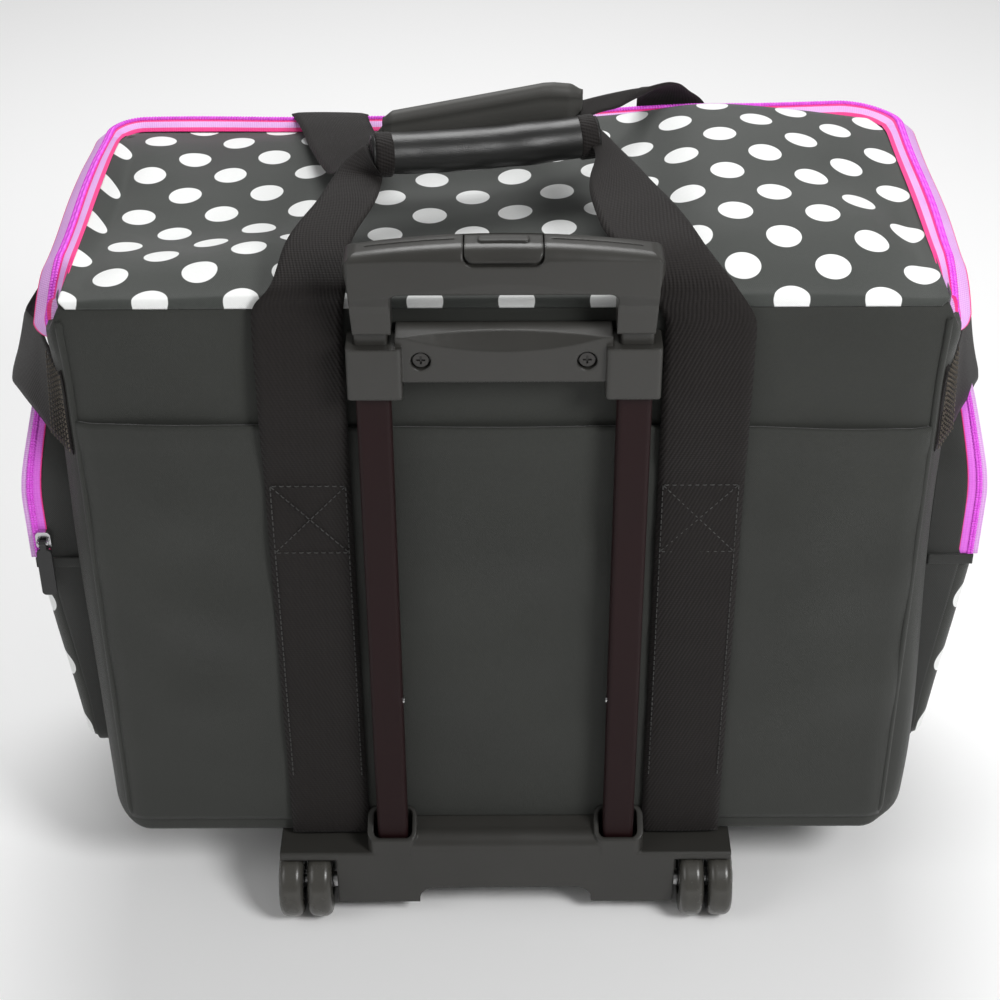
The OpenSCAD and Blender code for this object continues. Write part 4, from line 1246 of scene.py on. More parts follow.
@dataclass
class SlipPocket:
    """Open pocket across the back: one cloth with a folded hem."""

    seam_x: float = 243.0
    hem_z: float = 312.0
    hem: float = 22.0
    foot: float = 12.0
    turn_x: float = 231.0
    turn_radius: float = 22.0

    def depth(self, x: Array, z: Array) -> Array:
        """Distance in front of the back panel: the mouth gapes a little between the straps.

        Args:
            x: place across.
            z: height.

        Returns:
            Distance in millimetres.
        """
        up = smooth((z - 150) / 160)
        gape = 2.2 * bell(x, 0, 60) + 1.8 * bell(x, 190, 34) + 2.0 * bell(x, -190, 34)
        free = np.clip(bell(x, 0, 50) + bell(x, 190, 32) + bell(x, -190, 32), 0, 1)
        folds = (0.5 + 1.7 * free) * Ripple(31, 6, 60, 170)(x, z) + 1.2 * free
        return 1.3 + up * gape + folds * smooth((z - 30) / 100) * smooth((300 - z) / 60)

    def build(self) -> None:
        """Build the cloth, thicker at its folded hem."""
        x = np.linspace(-self.seam_x, self.seam_x, 150)
        top = self.hem_z + 2.5 * smooth((-x - 60) / 180) - 3 * smooth((x - 60) / 180)
        t = np.linspace(0, 1, 90)[:, None]
        z = self.foot + (top - self.foot)[None] * t
        xs = np.broadcast_to(x, z.shape)
        corner = np.clip(np.abs(xs) - self.turn_x, 0, None)
        bend = corner**2 / (2 * self.turn_radius)
        y = -F.half_d - self.depth(xs, z) + bend
        front = np.stack([xs, y, z], -1)
        below = top[None] - z
        thick = 1.1 + 1.3 * smooth((self.hem - below) / 12)
        rear = front + np.stack([0 * thick, thick * 0.55, 0 * thick], -1)
        front = front - np.stack([0 * thick, thick * 0.45, 0 * thick], -1)
        ring = wrap(front, rear).transpose(1, 0, 2)
        uv = np.stack([xs, z], -1)
        uv = wrap(uv, uv).transpose(1, 0, 2)
        cloth = surface("slip_pocket_cloth", ring, uv, "cloth", closed=True, caps=True)
        settle(cloth, "bag", "cloth", "slip_pocket")
        (self.hem_z - self.foot + 2 * self.hem) / 1000
        2 * self.seam_x * (self.hem_z - self.foot) / 1e6


# Heights of the lid over the rim, in millimetres: a row for each x, a column for each depth
LID_DEPTHS = (0, 25, 50, 75, 100, 125, 150, 175, 200, 225, 247)
LID_HEIGHTS = {
    -236: (3, 2, 0, -2, -5, -7, -7, -5, -3, -3, -5),
    -215: (4, 6, 4, 1.4, -4, -8.2, -5, 0, 0, -2, -5),
    -190: (3.4, 7, 6.8, 1, -4.9, -5, -2.4, -2.5, -4.6, -5, -6),
    -165: (4, 10, 7, 1.1, -3, -4.6, -3, -0.7, -1.5, -3.5, -6),
    -140: (5, 12, 13, 5, -2.2, -3, -1.9, -1, 0, -2, -6),
    -115: (5, 10, 10, 4, 0, -1, 0, 1, 1, -1, -5),
    -88: (4, 6, 6.5, 6, 5, 4, 4, 4, 3, 1, -4),
    0: (4, 6, 6.5, 6.5, 6, 6, 7, 7, 7, 5, 1),
    86: (4, 8, 11, 12, 12, 12, 12, 13, 15, 15, 8),
    110: (4, 13, 22, 24, 25, 24, 22.6, 23, 24, 22, 9),
    134: (4, 13.5, 20, 23.3, 24.5, 24.7, 24, 24, 25, 24, 10),
    159: (3.9, 12.5, 18.5, 21, 22.8, 23.4, 23.6, 23.6, 24, 22, 9),
    184: (3.5, 11.8, 16.5, 19.5, 20.4, 20.6, 19, 17.6, 17.9, 17.9, 8),
    208: (2.7, 8.5, 12.8, 14, 13.7, 12, 10.4, 12, 15.2, 13, 7),
    234: (2, 4, 3, 2, 3.5, 5.4, 6, 6.7, 7, 7.1, 6),
}


@dataclass
class Lid:
    """The lid: loose dotted cloth over foam, puffed on the right and sagging on the left."""

    half: float = 243.5
    reach: float = 246.5
    near_r: float = 4.0
    far_r: float = 14.0
    rows: int = 130
    columns: int = 210
    seam: float = 3.0
    band: float = 5.2
    blurs: int = 22
    spread: float = 0.93
    foam: float = 5.0
    lining: float = 0.9

    def height(self, x: Array, y: Array) -> Array:
        """Height over the rim: the knots above, bilinear, blurred by a repeated 1 2 1, plus folds.

        Args:
            x: grid of places across, from the bag's middle.
            y: grid of depths behind the back seam.

        Returns:
            Height in millimetres.
        """
        xs, ys = np.array(list(LID_HEIGHTS)), np.array(LID_DEPTHS)
        table = np.array(list(LID_HEIGHTS.values()))
        i = np.clip(np.searchsorted(xs, x) - 1, 0, len(xs) - 2)
        j = np.clip(np.searchsorted(ys, y) - 1, 0, len(ys) - 2)
        s = np.clip((x - xs[i]) / (xs[i + 1] - xs[i]), 0, 1)
        t = np.clip((y - ys[j]) / (ys[j + 1] - ys[j]), 0, 1)
        low = table[i, j] * (1 - s) + table[i + 1, j] * s
        h = low * (1 - t) + (table[i, j + 1] * (1 - s) + table[i + 1, j + 1] * s) * t
        for _ in range(self.blurs):
            for axis in (0, 1):
                n = h.shape[axis]
                pad = np.take(h, np.clip(np.arange(-1, n + 1), 0, n - 1), axis)
                h = sum(
                    w * np.take(pad, np.arange(k, k + n), axis)
                    for k, w in enumerate((0.25, 0.5, 0.25))
                )
        inside = smooth((self.half - np.abs(x)) / 30) * smooth(y / 30) * smooth((self.reach - y) / 30)
        folds = Ripple(41, 8, 45, 130)(x * 0.8 + y * 0.5, y - x * 0.2)
        return h + 1.1 * folds * inside

    def build(self) -> None:
        """Build the lid's cover, closed underneath by its lining."""
        b = F.half_d
        t = np.linspace(0, 1, self.rows)
        y = (t - 0.05 * np.sin(2 * math.pi * t) / math.pi) * self.reach
        near = self.near_r - np.clip(self.near_r - y, 0, None)
        far = self.far_r - np.clip(y - (self.reach - self.far_r), 0, None)
        cut = self.near_r - np.sqrt(np.clip(self.near_r**2 - (self.near_r - near) ** 2, 0, None))
        cut = cut + self.far_r - np.sqrt(np.clip(self.far_r**2 - (self.far_r - far) ** 2, 0, None))
        width = self.half - cut
        s = np.sin(np.linspace(-1, 1, self.columns) * math.pi / 2 * self.spread)
        s = s / s[-1]
        x = width[:, None] * s[None]
        ys = np.broadcast_to(y[:, None], x.shape)
        side = np.minimum(width[:, None] - np.abs(x), self.reach - ys)
        band = self.band - 7.2 * smooth((ys - b - 80) / 40)
        rim = self.seam + (band + sag(x, ys - b) - self.seam) * smooth(ys / 16)
        h = rim + (self.height(x, ys) - rim) * smooth(side / 13) ** 0.7
        h = h * np.sqrt(np.clip(1 - (1 - np.clip(ys / 3.0, 0, 1)) ** 2, 0, 1))
        cover = np.stack([x, ys - b, F.height + h], -1)
        steps = np.linalg.norm(np.diff(cover[..., 1:], axis=0), axis=-1)
        v = np.cumsum(np.vstack([np.zeros(x.shape[1]), steps]), axis=0)
        under = cover.copy()
        inside = np.clip(np.minimum(side, ys), 0, 8)
        under[..., 2] -= self.foam * smooth(inside / 8) + self.lining
        rows = wrap(cover, under).transpose(1, 0, 2)
        uv = np.stack([x, v], -1)
        uv = wrap(uv, uv).transpose(1, 0, 2)
        lid = surface("lid_cover", rows, uv, "lid", closed=True, caps=True)
        settle(lid, "lid", "dotted", "lid_panel", "lid_lining")


@dataclass
class ZipBands:
    """The zip round the rim: two slanting lilac tapes with pink edges, and the coils between."""

    tail: float = 6.0

    def path(
        self, out: float, up: tuple[float, float], count: int = 900, sway: float = 1.0
    ) -> tuple[Array, Array, Array]:
        """Line round the left, far and right sides, ending down the near corners.

        Args:
            out: distance out of the outline.
            up: height over the rim along the sides, and along the far edge.
            count: number of points.
            sway: share of the sideways wave.

        Returns:
            Points, outward normals and the taper towards the ends.
        """
        ring, norm = outline(F.half_w, F.half_d, CORNER_RADIUS, 120, 24)
        reach = lengths(ring)
        start = np.argmin(np.abs(ring[:, 0] - 250.5) + 9 * (ring[:, 1] > 0))
        want = np.linspace(reach[start], reach[-1] - reach[start], count)
        p = sample(ring, reach, want)
        n = unit(sample(norm, reach, want))
        edge = np.minimum(want - want[0], want[-1] - want)
        taper = np.clip(edge / 18, 0.12, 1)
        z = F.height + (up[0] + (up[1] - up[0]) * smooth((p[:, 1] - 80) / 40)) * taper
        wave = Ripple(51, 5, 70, 180)(want, 0 * want)
        out = out * taper + 1.0 + sway * (1.4 * wave + 1.2 * bell(edge, 26, 18))
        p = p + n * out[:, None]
        z = z + sag(*p.T) - self.tail * (1 - smooth(edge / 34)) ** 1.3
        return np.column_stack([p, z + wave * 0.4]), np.column_stack([n, 0 * n[:, 0]]), taper

    def tape(self, name: str, low: tuple, high: tuple, sway: float) -> bpy.types.Object:
        """Tape as a thin slanting strip between two (out, up) places.

        Args:
            name: name of the piece.
            low: out and up of its outer edge, as for path.
            high: out and up of its inner edge.
            sway: share of the inner edge's sideways wave.

        Returns:
            The tape.
        """
        a, n, _ = self.path(*low)
        b, _, _ = self.path(*high, sway=sway)
        middle = (a + b) / 2
        half = np.linalg.norm(b - a, axis=1).max() / 2
        across = unit(b - a)
        along = unit(np.gradient(middle, axis=0))
        out = unit(np.cross(along, across))
        out = out * np.sign(np.sum(out * n, 1, keepdims=True))
        section = loop_profile(2 * half, 1.1, 0.4, 3)
        size = np.linalg.norm(b - a, axis=1) / (2 * half)
        return sweep(name, middle, across, section, "zip", up=out, scale=size, flat=True)

    def coil(self, name: str, out: float, up: float) -> bpy.types.Object:
        """Half of the coil at one height over the rim."""
        line, _, taper = self.path(out, (up, up), 3200)
        return coil(name, line, [0.0, 0.0, 1.0], 1.35, 10, 0.16, taper)

    def build(self) -> None:
        """Build both tapes and both halves of the coil."""
        body = self.tape("rim_tape", (6.4, (-4.6, -5.0)), (-2.0, (2.0, 2.0)), 1.0)
        lid = self.tape("lid_tape", (-4.6, (3.7, 3.7)), (-14.0, (5.6, -1.2)), 0.2)
        lower = self.coil("rim_coil", -2.7, 2.5)
        upper = self.coil("lid_coil", -4.8, 3.6)
        settle(body, "bag", "zip", "rim_zip_tape")
        settle(lower, "bag", "zip")
        settle(lid, "lid", "zip", "lid_zip_tape")
        settle(upper, "lid", "zip")


# Outer and inner edge of the webbing from the rim to the grip, with heights over the rim
NEAR_WAY = {
    Side.LEFT: (
        ((-136, -132.8, 3), (-87, -132.8, 3)),
        ((-126, -130, 15), (-85, -131, 15)),
        ((-119, -102, 27), (-83, -104, 28)),
        ((-105, -66, 33), (-72, -74, 35)),
        ((-98, -38, 34), (-69, -46, 36)),
        ((-90, -24, 40), (-70, -47, 41)),
        ((-79, -18, 46), (-73, -46, 45)),
    ),
    Side.RIGHT: (
        ((133, -132.8, 3), (83, -132.8, 3)),
        ((124, -132, 16), (78, -133, 16)),
        ((110, -113, 28), (67, -123, 28)),
        ((100, -88, 34), (55, -106, 34)),
        ((86, -57, 38), (49, -74, 38)),
        ((73, -25, 40), (49, -52, 40)),
        ((62, -4, 43), (53, -30, 43)),
        ((54, 5, 47), (51, -19, 46)),
    ),
}
FAR_WAY = {
    Side.LEFT: (
        ((-138, 142.5, -10), (-88, 142.5, -10)),
        ((-138, 141, -4.5), (-88, 141.5, -5)),
        ((-137, 131, -0.4), (-88, 131, -0.6)),
        ((-128, 97, 5), (-85, 108, 4)),
        ((-119, 58, 9), (-81, 86, 8)),
        ((-103, 0, 19), (-74, 48, 19)),
        ((-90, -16, 34), (-71, 30, 34)),
        ((-70, -6, 45), (-68, 14, 47)),
    ),
    Side.RIGHT: (
        ((138, 142.5, -8), (88, 142.5, -8)),
        ((131, 142.5, 4), (88, 142.5, 4)),
        ((122, 134, 14), (88, 133, 14)),
        ((110, 116, 27), (86, 110, 26)),
        ((86, 87, 36), (74, 60, 36)),
        ((66, 62, 43), (57, 32, 43)),
        ((47, 34, 50), (45, 10, 48)),
    ),
}


@dataclass
class Straps:
    """Carry straps: sewn up the back and front, free near the rim and joined at the grips."""

    middle: float = 113.0
    width: float = 50.0
    box_top: float = 277.0
    box_side: float = 50.0
    near_lay: float = 3.8
    far_lay: float = 3.0

    def lower(self, side: Side, e: float, sy: int) -> list[tuple]:
        """Sewn part from the bottom edge up, bowing off the panel above the stitched box.

        Args:
            side: left or right strap.
            e: distance in front of the panel.
            sy: sign of y.

        Returns:
            Rows of its outer and inner edge points.
        """
        x = side.value * self.middle
        lean = -0.8 * side.value
        levels = ((3, 0.0), (60, 0.0), (150, 0.0), (240, 0.0), (self.box_top, 0.2))
        free = ((305, 2.6), (335, 3.6), (362, 2.4), (380, 0.6))
        rows = []
        for z, bow in levels + free:
            y = sy * (F.half_d + e + bow)
            tilt = lean * smooth((z - 280) / 80)
            outer = (x + side.value * self.width / 2, y - sy * tilt, z)
            rows.append((outer, (x - side.value * self.width / 2, y + sy * tilt, z)))
        return rows

    def strap(self, name: str, side: Side, way: dict, e: float, sy: int) -> bpy.types.Object:
        """One whole strap from the bag's bottom to its grip.

        Args:
            name: name of the piece.
            side: left or right strap.
            way: rows from the rim to the grip, for each side.
            e: distance in front of the panel.
            sy: sign of y.

        Returns:
            The strap.
        """
        rows = self.lower(side, e, sy)
        for outer, inner in way[side]:
            over = [(p[0], p[1], F.height + p[2]) for p in (outer, inner)]
            rows.append(tuple(over))
        left, right = zip(*rows)
        return ribbon(name, left, right, WEB_THICKNESS, 260, camber=0.5, fade=0.35)

    def seams(self, side: Side, sy: int, e: float) -> bpy.types.Object:
        """Stitched square with a cross, and the edge rows below it.

        Args:
            side: left or right strap.
            sy: sign of y.
            e: distance of the strap in front of the panel.

        Returns:
            All its stitches.
        """
        x0 = side.value * self.middle
        half = self.width / 2 - 3.2
        top, low = self.box_top - 3, self.box_top - self.box_side
        y = sy * (F.half_d + e + 1.35)
        lines = [
            [(x0 - half, top), (x0 + half, top)],
            [(x0 - half, low), (x0 + half, low)],
            [(x0 - half, low), (x0 + half, top)],
            [(x0 + half, low), (x0 - half, top)],
            [(x0 - half, 52), (x0 - half, top)],
            [(x0 + half, 52), (x0 + half, top)],
        ]
        rows = []
        for k, line in enumerate(lines):
            path = np.array([[x, y, z] for x, z in line], float)
            rows.append(stitches(f"row_{k}", path, [0, sy, 0]))
        word = "back" if sy < 0 else "front"
        return join(f"strap_stitching_{word}_{side.name.lower()}", rows)

    def build(self) -> None:
        """Build both pairs of straps, which run over the rim onto their grips."""
        jobs = (
            ("near_straps", NEAR_WAY, self.near_lay, -1, "back"),
            ("far_straps", FAR_WAY, self.far_lay, 1, "front"),
        )
        for name, way, e, sy, word in jobs:
            pair = [self.strap(f"{name}_{s.name.lower()}", s, way, e, sy) for s in Side]
            both = join(name, pair)
            y = sy * (F.half_d + e)
            F.at(0, y, F.height - 22)
            F.at(0, y, F.height + 6)
            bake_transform(both)
            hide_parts(f"{word}_straps", f"{word}_handle_strap")
            for side in Side:
                settle(self.seams(side, sy, e), "bag", "webbing")


@dataclass
class Grips:
    """The two grips: a wrapped vinyl roll with bound ends, and the far handle's pad behind it."""

    start: tuple = (-75.0, -33.0, 46.0)
    end: tuple = (55.0, -7.0, 46.0)
    radius: float = 12.6
    cuff: float = 13.0

    def roll(self) -> bpy.types.Object:
        """Vinyl tube, sagging by a half sine, with the wrapped edge as a step along its side.

        Returns:
            The tube with its two bound ends.
        """
        a, b = (np.array(p, float) + [0, 0, F.height] for p in (self.start, self.end))
        t = np.linspace(0, 1, 120)
        path = a + (b - a) * t[:, None]
        path[:, 2] -= 2.2 * np.sin(math.pi * t)
        turn = np.linspace(0, 2 * math.pi, 61)
        lap = 1.1 * smooth((turn - 0.9) / (2 * math.pi - 0.9))
        r = self.radius - 1.0 + lap
        section = np.stack([r * np.cos(turn), r * np.sin(turn)], 1)
        section[-1] = section[0]
        crease = 0.014 * Ripple(61, 6, 8, 40)(t * 130, 0 * t)
        ends = 1 - 0.1 * (1 - smooth(t / 0.04)) - 0.1 * (1 - smooth((1 - t) / 0.04))
        vinyl = sweep("vinyl_tube", path, [0.0, 1.0, 0.0], section, "vinyl", scale=ends + crease)
        bound = self.cuff / np.linalg.norm(b - a)
        whole = [vinyl]
        for name, low, high in (("left", 0.0, bound), ("right", 1 - bound, 1.0)):
            k = np.linspace(low, high, 24)
            line = sample(path, t, k)
            ring = loop_profile(2 * self.radius + 0.6, 2 * self.radius + 0.6, 0.5, 9)
            edge = np.sqrt(np.clip(1 - np.abs(2 * (k - low) / bound - 1) ** 8, 0.55, 1))
            cuff = sweep(f"cuff_{name}", line, [0.0, 1.0, 0.0], ring, "webbing", scale=edge)
            whole.append(cuff)
        return join("grip_roll", whole)

    def pad(self) -> bpy.types.Object:
        """Flat padded strip: its top edge rises to the right and rounds down at the stitched end.

        Returns:
            The pad.
        """
        t = np.linspace(0, 1, 110)
        x = np.interp(t, [0, 1], [-70, 47])
        y = np.interp(t, [0, 1], [1, 22])
        z = F.height + np.interp(t, [0, 0.35, 0.8, 1], [46, 49, 54, 53])
        path = np.stack([x, y, z], 1)
        half = np.interp(t, [0, 0.35, 0.85, 1], [12.0, 14.0, 15.5, 13.0])
        s = np.linspace(0, 2 * math.pi, 49)
        flat = np.sign(np.cos(s)) * np.abs(np.cos(s)) ** 0.8
        tall = np.sign(np.sin(s)) * np.abs(np.sin(s)) ** 0.55
        ends = np.clip(1 - (1 - smooth(t / 0.05)) * 0.55 - (1 - smooth((1 - t) / 0.07)) * 0.5, 0, 1)
        channel = 1 - 0.22 * (bell(tall, 0.45, 0.12) + bell(tall, -0.5, 0.12))[None]
        across = 5.6 * flat[None] * channel * ends[:, None]
        up = tall[None] * (half * (0.6 + 0.4 * ends))[:, None]
        tilt = unit(np.array([0.0, -0.24, 1.0]))
        side = unit(np.array([0.18, 1.0, 0.24]))
        points = path[:, None] + side * across[..., None] + tilt * up[..., None]
        points[:, -1] = points[:, 0]
        uv = grid_uv(s * 16, lengths(path))
        return surface("grip_pad", points, uv, "pad", closed=True, caps=True)

    def build(self) -> None:
        """Build both grips on their handles."""
        roll = settle(self.roll(), "back_handle", "vinyl", "back_grip")
        pad = settle(self.pad(), "front_handle", "webbing", "front_grip")


# Depth, distance across and height of a side loop's upper and lower edge
LOOP_UPPER = (
    (-124.5, 247.3, 346), (-112, 256, 356), (-96, 263, 359), (-80, 270, 354),
    (-60, 278, 347), (-40, 284, 339), (-20, 286, 334), (0, 285, 332), (20, 281, 333),
    (40, 275, 339), (60, 269, 343), (80, 264, 344), (100, 258, 342), (112, 254, 340),
    (124.5, 247.3, 339),
)
LOOP_LOWER = (
    (-124.5, 247.3, 290), (-112, 260, 296), (-96, 271, 300), (-80, 281, 300),
    (-60, 291, 296), (-40, 299, 290), (-20, 303, 286), (0, 303, 288), (20, 298, 292),
    (40, 289, 299), (60, 279, 303), (80, 269, 302), (100, 260, 297), (112, 255, 293),
    (124.5, 247.3, 290),
)


@dataclass
class SideLoops:
    """Webbing loops on the sides, sewn in at the corners and drooping outwards."""

    ends: float = 314.0
    sewn_x: float = 247.3
    right_span: float = 0.8

    def edge(self, side: Side, rows: Sequence[tuple]) -> list[tuple]:
        """One edge of a loop, the right one's drawn in to a share of its reach.

        Args:
            side: left or right loop.
            rows: its knots.

        Returns:
            Points of the edge.
        """
        span = self.right_span if side is Side.RIGHT else 1.0
        return [(side.value * (self.sewn_x + (x - self.sewn_x) * span), y, z) for y, x, z in rows]

    def sewn(self, side: Side) -> bpy.types.Object:
        """Dense rows of thread where each end is sewn down, beside the corner seam.

        Args:
            side: left or right loop.

        Returns:
            All its stitches.
        """
        top, foot = (np.array(self.edge(side, rows)) for rows in (LOOP_UPPER, LOOP_LOWER))
        rows = []
        for sy, a, b in ((-1, 0, 1), (1, -1, -2)):
            out = unit(np.array([side.value * abs(top[b] - top[a])[1], sy * 14.0, 0.0]))
            for k, t in enumerate(np.linspace(0.02, 0.95, 7)):
                ends = [p[a] + (p[b] - p[a]) * t for p in (top, foot)]
                line = np.linspace(ends[0] + [0, 0, -2], ends[1] + [0, 0, 2], 30) + out * 1.9
                rows.append(stitches(f"tack_{sy}_{k}", line, out, 2.2, 0.9, 0.4, "tan"))
        return join(f"loop_stitching_{side.name.lower()}", rows)

    def build(self) -> None:
        """Build each loop between its sewn ends, and the stitches there."""
        for side in Side:
            word = side.name.lower()
            upper, lower = self.edge(side, LOOP_UPPER), self.edge(side, LOOP_LOWER)
            camber = side.value * 1.2
            loop = ribbon(f"loop_{word}", upper, lower, WEB_THICKNESS, 150, camber, 0.3)
            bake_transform(loop)
            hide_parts(f"side_handle_{word}")
            LOG.info("loop_%s bends off the bag", word)
            settle(self.sewn(side), "bag", "webbing")


@dataclass
class Pocket:
    """A zipped bellows pocket: gusset, lower face, and the flap that its U-shaped zip frees."""

    word: str
    body: str
    near: int
    place: Callable[[Array, Array, Array], Array]
    width: float = 214.0
    foot: float = 56.0
    tall: float = 247.0
    flap: float = 97.0
    depth: float = 30.0
    bulge: float = 5.0
    zip_at: float = 26.0
    foot_r: float = 14.0
    top_r: float = 42.0
    side_r: float = 9.0
    lean: float = 17.0
    top_lean: float = 0.3
    coil_radius: float = 1.2

    @property
    def fold(self) -> float:
        """Height over the pocket's foot at which the flap bends."""
        return self.tall - self.flap

    def deep(self, z: Array) -> Array:
        """Depth at a height: depth - lean (1 - z / fold) below the fold."""
        return self.depth - self.lean * np.clip(1 - z / self.fold, 0, 1)

    def put(self, a: Array, d: Array, z: Array) -> Array:
        """Place on the bag, leaning in at the top: depth times 1 - top_lean smooth(...)."""
        over = z - self.foot - (self.tall - 58)
        return self.place(a, d * (1 - self.top_lean * smooth(over / 62)), z)

    def half(self, z: Array) -> Array:
        """Half width of the rounded outline at a height.

        Args:
            z: height over the pocket's foot.

        Returns:
            Half width in millimetres.
        """
        low = np.clip(self.foot_r - z, 0, self.foot_r)
        high = np.clip(z - (self.tall - self.top_r), 0, self.top_r)
        cut = self.foot_r - np.sqrt(self.foot_r**2 - low**2)
        return self.width / 2 - cut - (self.top_r - np.sqrt(self.top_r**2 - high**2))

    def edge_distance(self, a: Array, z: Array) -> Array:
        """Distance inside the rounded outline.

        Args:
            a: place across the pocket.
            z: height over its foot.

        Returns:
            Distance in millimetres, 0 at the outline.
        """
        d = np.minimum(self.width / 2 - np.abs(a), np.minimum(z, self.tall - z))
        for r, centre, sign in (
            (self.foot_r, self.foot_r, -1),
            (self.top_r, self.tall - self.top_r, 1),
        ):
            da = np.abs(a) - (self.width / 2 - r)
            dz = (z - centre) * sign
            inside = (da > 0) & (dz > 0)
            d = np.where(inside, r - np.hypot(np.clip(da, 0, None), np.clip(dz, 0, None)), d)
        return np.clip(d, 0, None)

    def out(self, a: Array, z: Array) -> Array:
        """Depth of the outer face: a rounded edge, a broad bulge and soft folds.

        Args:
            a: place across the pocket.
            z: height over its foot.

        Returns:
            Distance out of the bag's panel.
        """
        d = self.edge_distance(a, z)
        r = np.minimum(self.side_r, 0.5 * self.deep(z))
        edge = r - np.sqrt(np.clip(r * r - np.clip(r - d, 0, r) ** 2, 0, None))
        broad = np.cos(math.pi * np.clip(a / self.width, -0.5, 0.5))
        broad = broad * np.sin(math.pi * np.clip(z / self.tall, 0, 1))
        folds = Ripple(70 + len(self.word), 7, 50, 140)(a, z) * 1.1 * smooth(d / 40)
        return self.deep(z) - edge + self.bulge * np.clip(broad, 0, 1) ** 0.7 + folds

    def patch(self, name: str, low: float, high: float) -> bpy.types.Object:
        """Outer face between two heights over the pocket's foot, rows closing in at its ends.

        Args:
            name: name of the piece.
            low: height that it starts at.
            high: height that it ends at.

        Returns:
            The dotted cloth, with its wall.
        """
        t = np.linspace(0, 1, 60)
        ends = (1 - np.cos(math.pi * t)) / 2
        z = low + (high - low) * (ends * 0.7 + t * 0.3)
        s = np.sin(np.linspace(-1, 1, 100) * math.pi / 2)
        a = self.half(z)[:, None] * s[None]
        zs = np.broadcast_to(z[:, None], a.shape)
        w = self.out(a, zs)
        points = self.put(a, w, zs + self.foot)
        steps = np.linalg.norm(np.diff(points, axis=1), axis=-1)
        arc = np.concatenate([np.zeros((len(z), 1)), np.cumsum(steps, axis=1)], 1)
        arc = arc - arc[:, -1:] / 2
        u = self.width / 2 + 0.57 * self.side_r - self.near * arc
        obj = surface(name, points, np.stack([u, zs], -1), "dotted", outward=False)
        self.face_out(obj)
        return thicken(obj, 1.6)

    def face_out(self, obj: bpy.types.Object) -> None:
        """Turn an open sheet's faces away from the bag.

        Args:
            obj: the sheet.
        """
        zero = np.array(0.0)
        out = Vector(self.put(zero, np.array(1.0), zero)) - Vector(self.put(zero, zero, zero))
        total = Vector((0, 0, 0))
        for poly in obj.data.polygons:
            total += poly.normal * poly.area
        if total.dot(out) < 0:
            obj.data.flip_normals()

    def rim(self, count: int = 400) -> tuple[Array, Array]:
        """Outline (a, z) from the left foot of the zip over the top to its right foot.

        Args:
            count: number of points.

        Returns:
            Points (n, 2) and outward normals (n, 2).
        """
        r, w = self.top_r, self.width / 2
        turn = np.linspace(0, math.pi / 2, 30)
        left = [(-w, self.fold), (-w, self.tall - r)]
        arc1 = [(-w + r - r * math.cos(t), self.tall - r + r * math.sin(t)) for t in turn[1:]]
        arc2 = [(w - r + r * math.sin(t), self.tall - r + r * math.cos(t)) for t in turn]
        points = np.array(left + arc1 + arc2 + [(w, self.fold)])
        reach = lengths(points)
        line = sample(points, reach, np.linspace(0, reach[-1], count))
        tangent = unit(np.gradient(line, axis=0))
        return line, np.stack([-tangent[:, 1], tangent[:, 0]], 1)

    def whole(self) -> tuple[Array, Array]:
        """Closed outline (a, z): the foot's corners below the middle and the top's above.

        Returns:
            Points (n, 2) and outward normals (n, 2).
        """
        w, h = self.width / 2, self.tall / 2
        low, low_norm = outline(w, h, self.foot_r, 40, 10)
        high, high_norm = outline(w, h, self.top_r, 40, 10)
        top = low[:, 1:] > 0
        return np.where(top, high, low) + [0, h], np.where(top, high_norm, low_norm)

    def gusset(self) -> bpy.types.Object:
        """Cloth wall from the panel out to the zip, or to the face below the zip's feet.

        Returns:
            The wall.
        """
        line, norm = self.whole()
        z0 = line[:, 1][:, None]
        below = smooth((self.fold + 1.5 - z0) / 3)
        limit = self.zip_at - 6.6
        limit = limit + (self.deep(z0) - np.minimum(self.side_r, 0.5 * self.deep(z0)) - limit) * below
        d = np.concatenate([[0.0], np.linspace(0.03, 1, 12)])[None] * limit
        flare = 0.8 * np.sin(math.pi * d / self.depth) + 1.3 * below
        wave = 0.5 * Ripple(80, 5, 40, 110)(np.arange(len(line))[:, None] * 4.0, d * 2)
        a = line[:, 0][:, None] + norm[:, 0][:, None] * (flare + wave * (1 - 0.5 * below))
        z = z0 + norm[:, 1][:, None] * (flare + wave)
        points = self.put(a, d, z + self.foot)
        uv = np.stack(np.broadcast_arrays(lengths(line)[:, None], d), -1)
        wall = surface(f"{self.word}_gusset", points, uv, "gusset", closed=True, outward=True)
        return thicken(wall, 1.4)

    def hem(self) -> bpy.types.Object:
        """Folded hem across each side of the gusset where the zip's feet are sewn in.

        Returns:
            Both hems.
        """
        d = np.linspace(0.8, self.depth - 2, 20)
        z = self.foot + self.fold - 3.0 + 0 * d
        section = loop_profile(1.6, 7.0, 0.4, 4)
        parts = []
        for sign in (-1, 1):
            a = sign * (self.width / 2 + 2.4) + 0 * d
            path = self.put(a, d, z)
            out = self.put(a + sign, d, z) - path
            parts.append(sweep(f"hem_{sign}", path, unit(out), section, "gusset"))
        return join(f"{self.word}_hem", parts)

    def along(self, lift: float, d: float, count: int = 400) -> Array:
        """Line along the zip's U, lifted off the outline, at one depth.

        Args:
            lift: distance out of the pocket's outline.
            d: depth.
            count: number of points.

        Returns:
            Points (n, 3).
        """
        line, norm = self.rim(count)
        off = line + norm * lift
        return self.put(off[:, 0], np.full(count, d), off[:, 1] + self.foot)

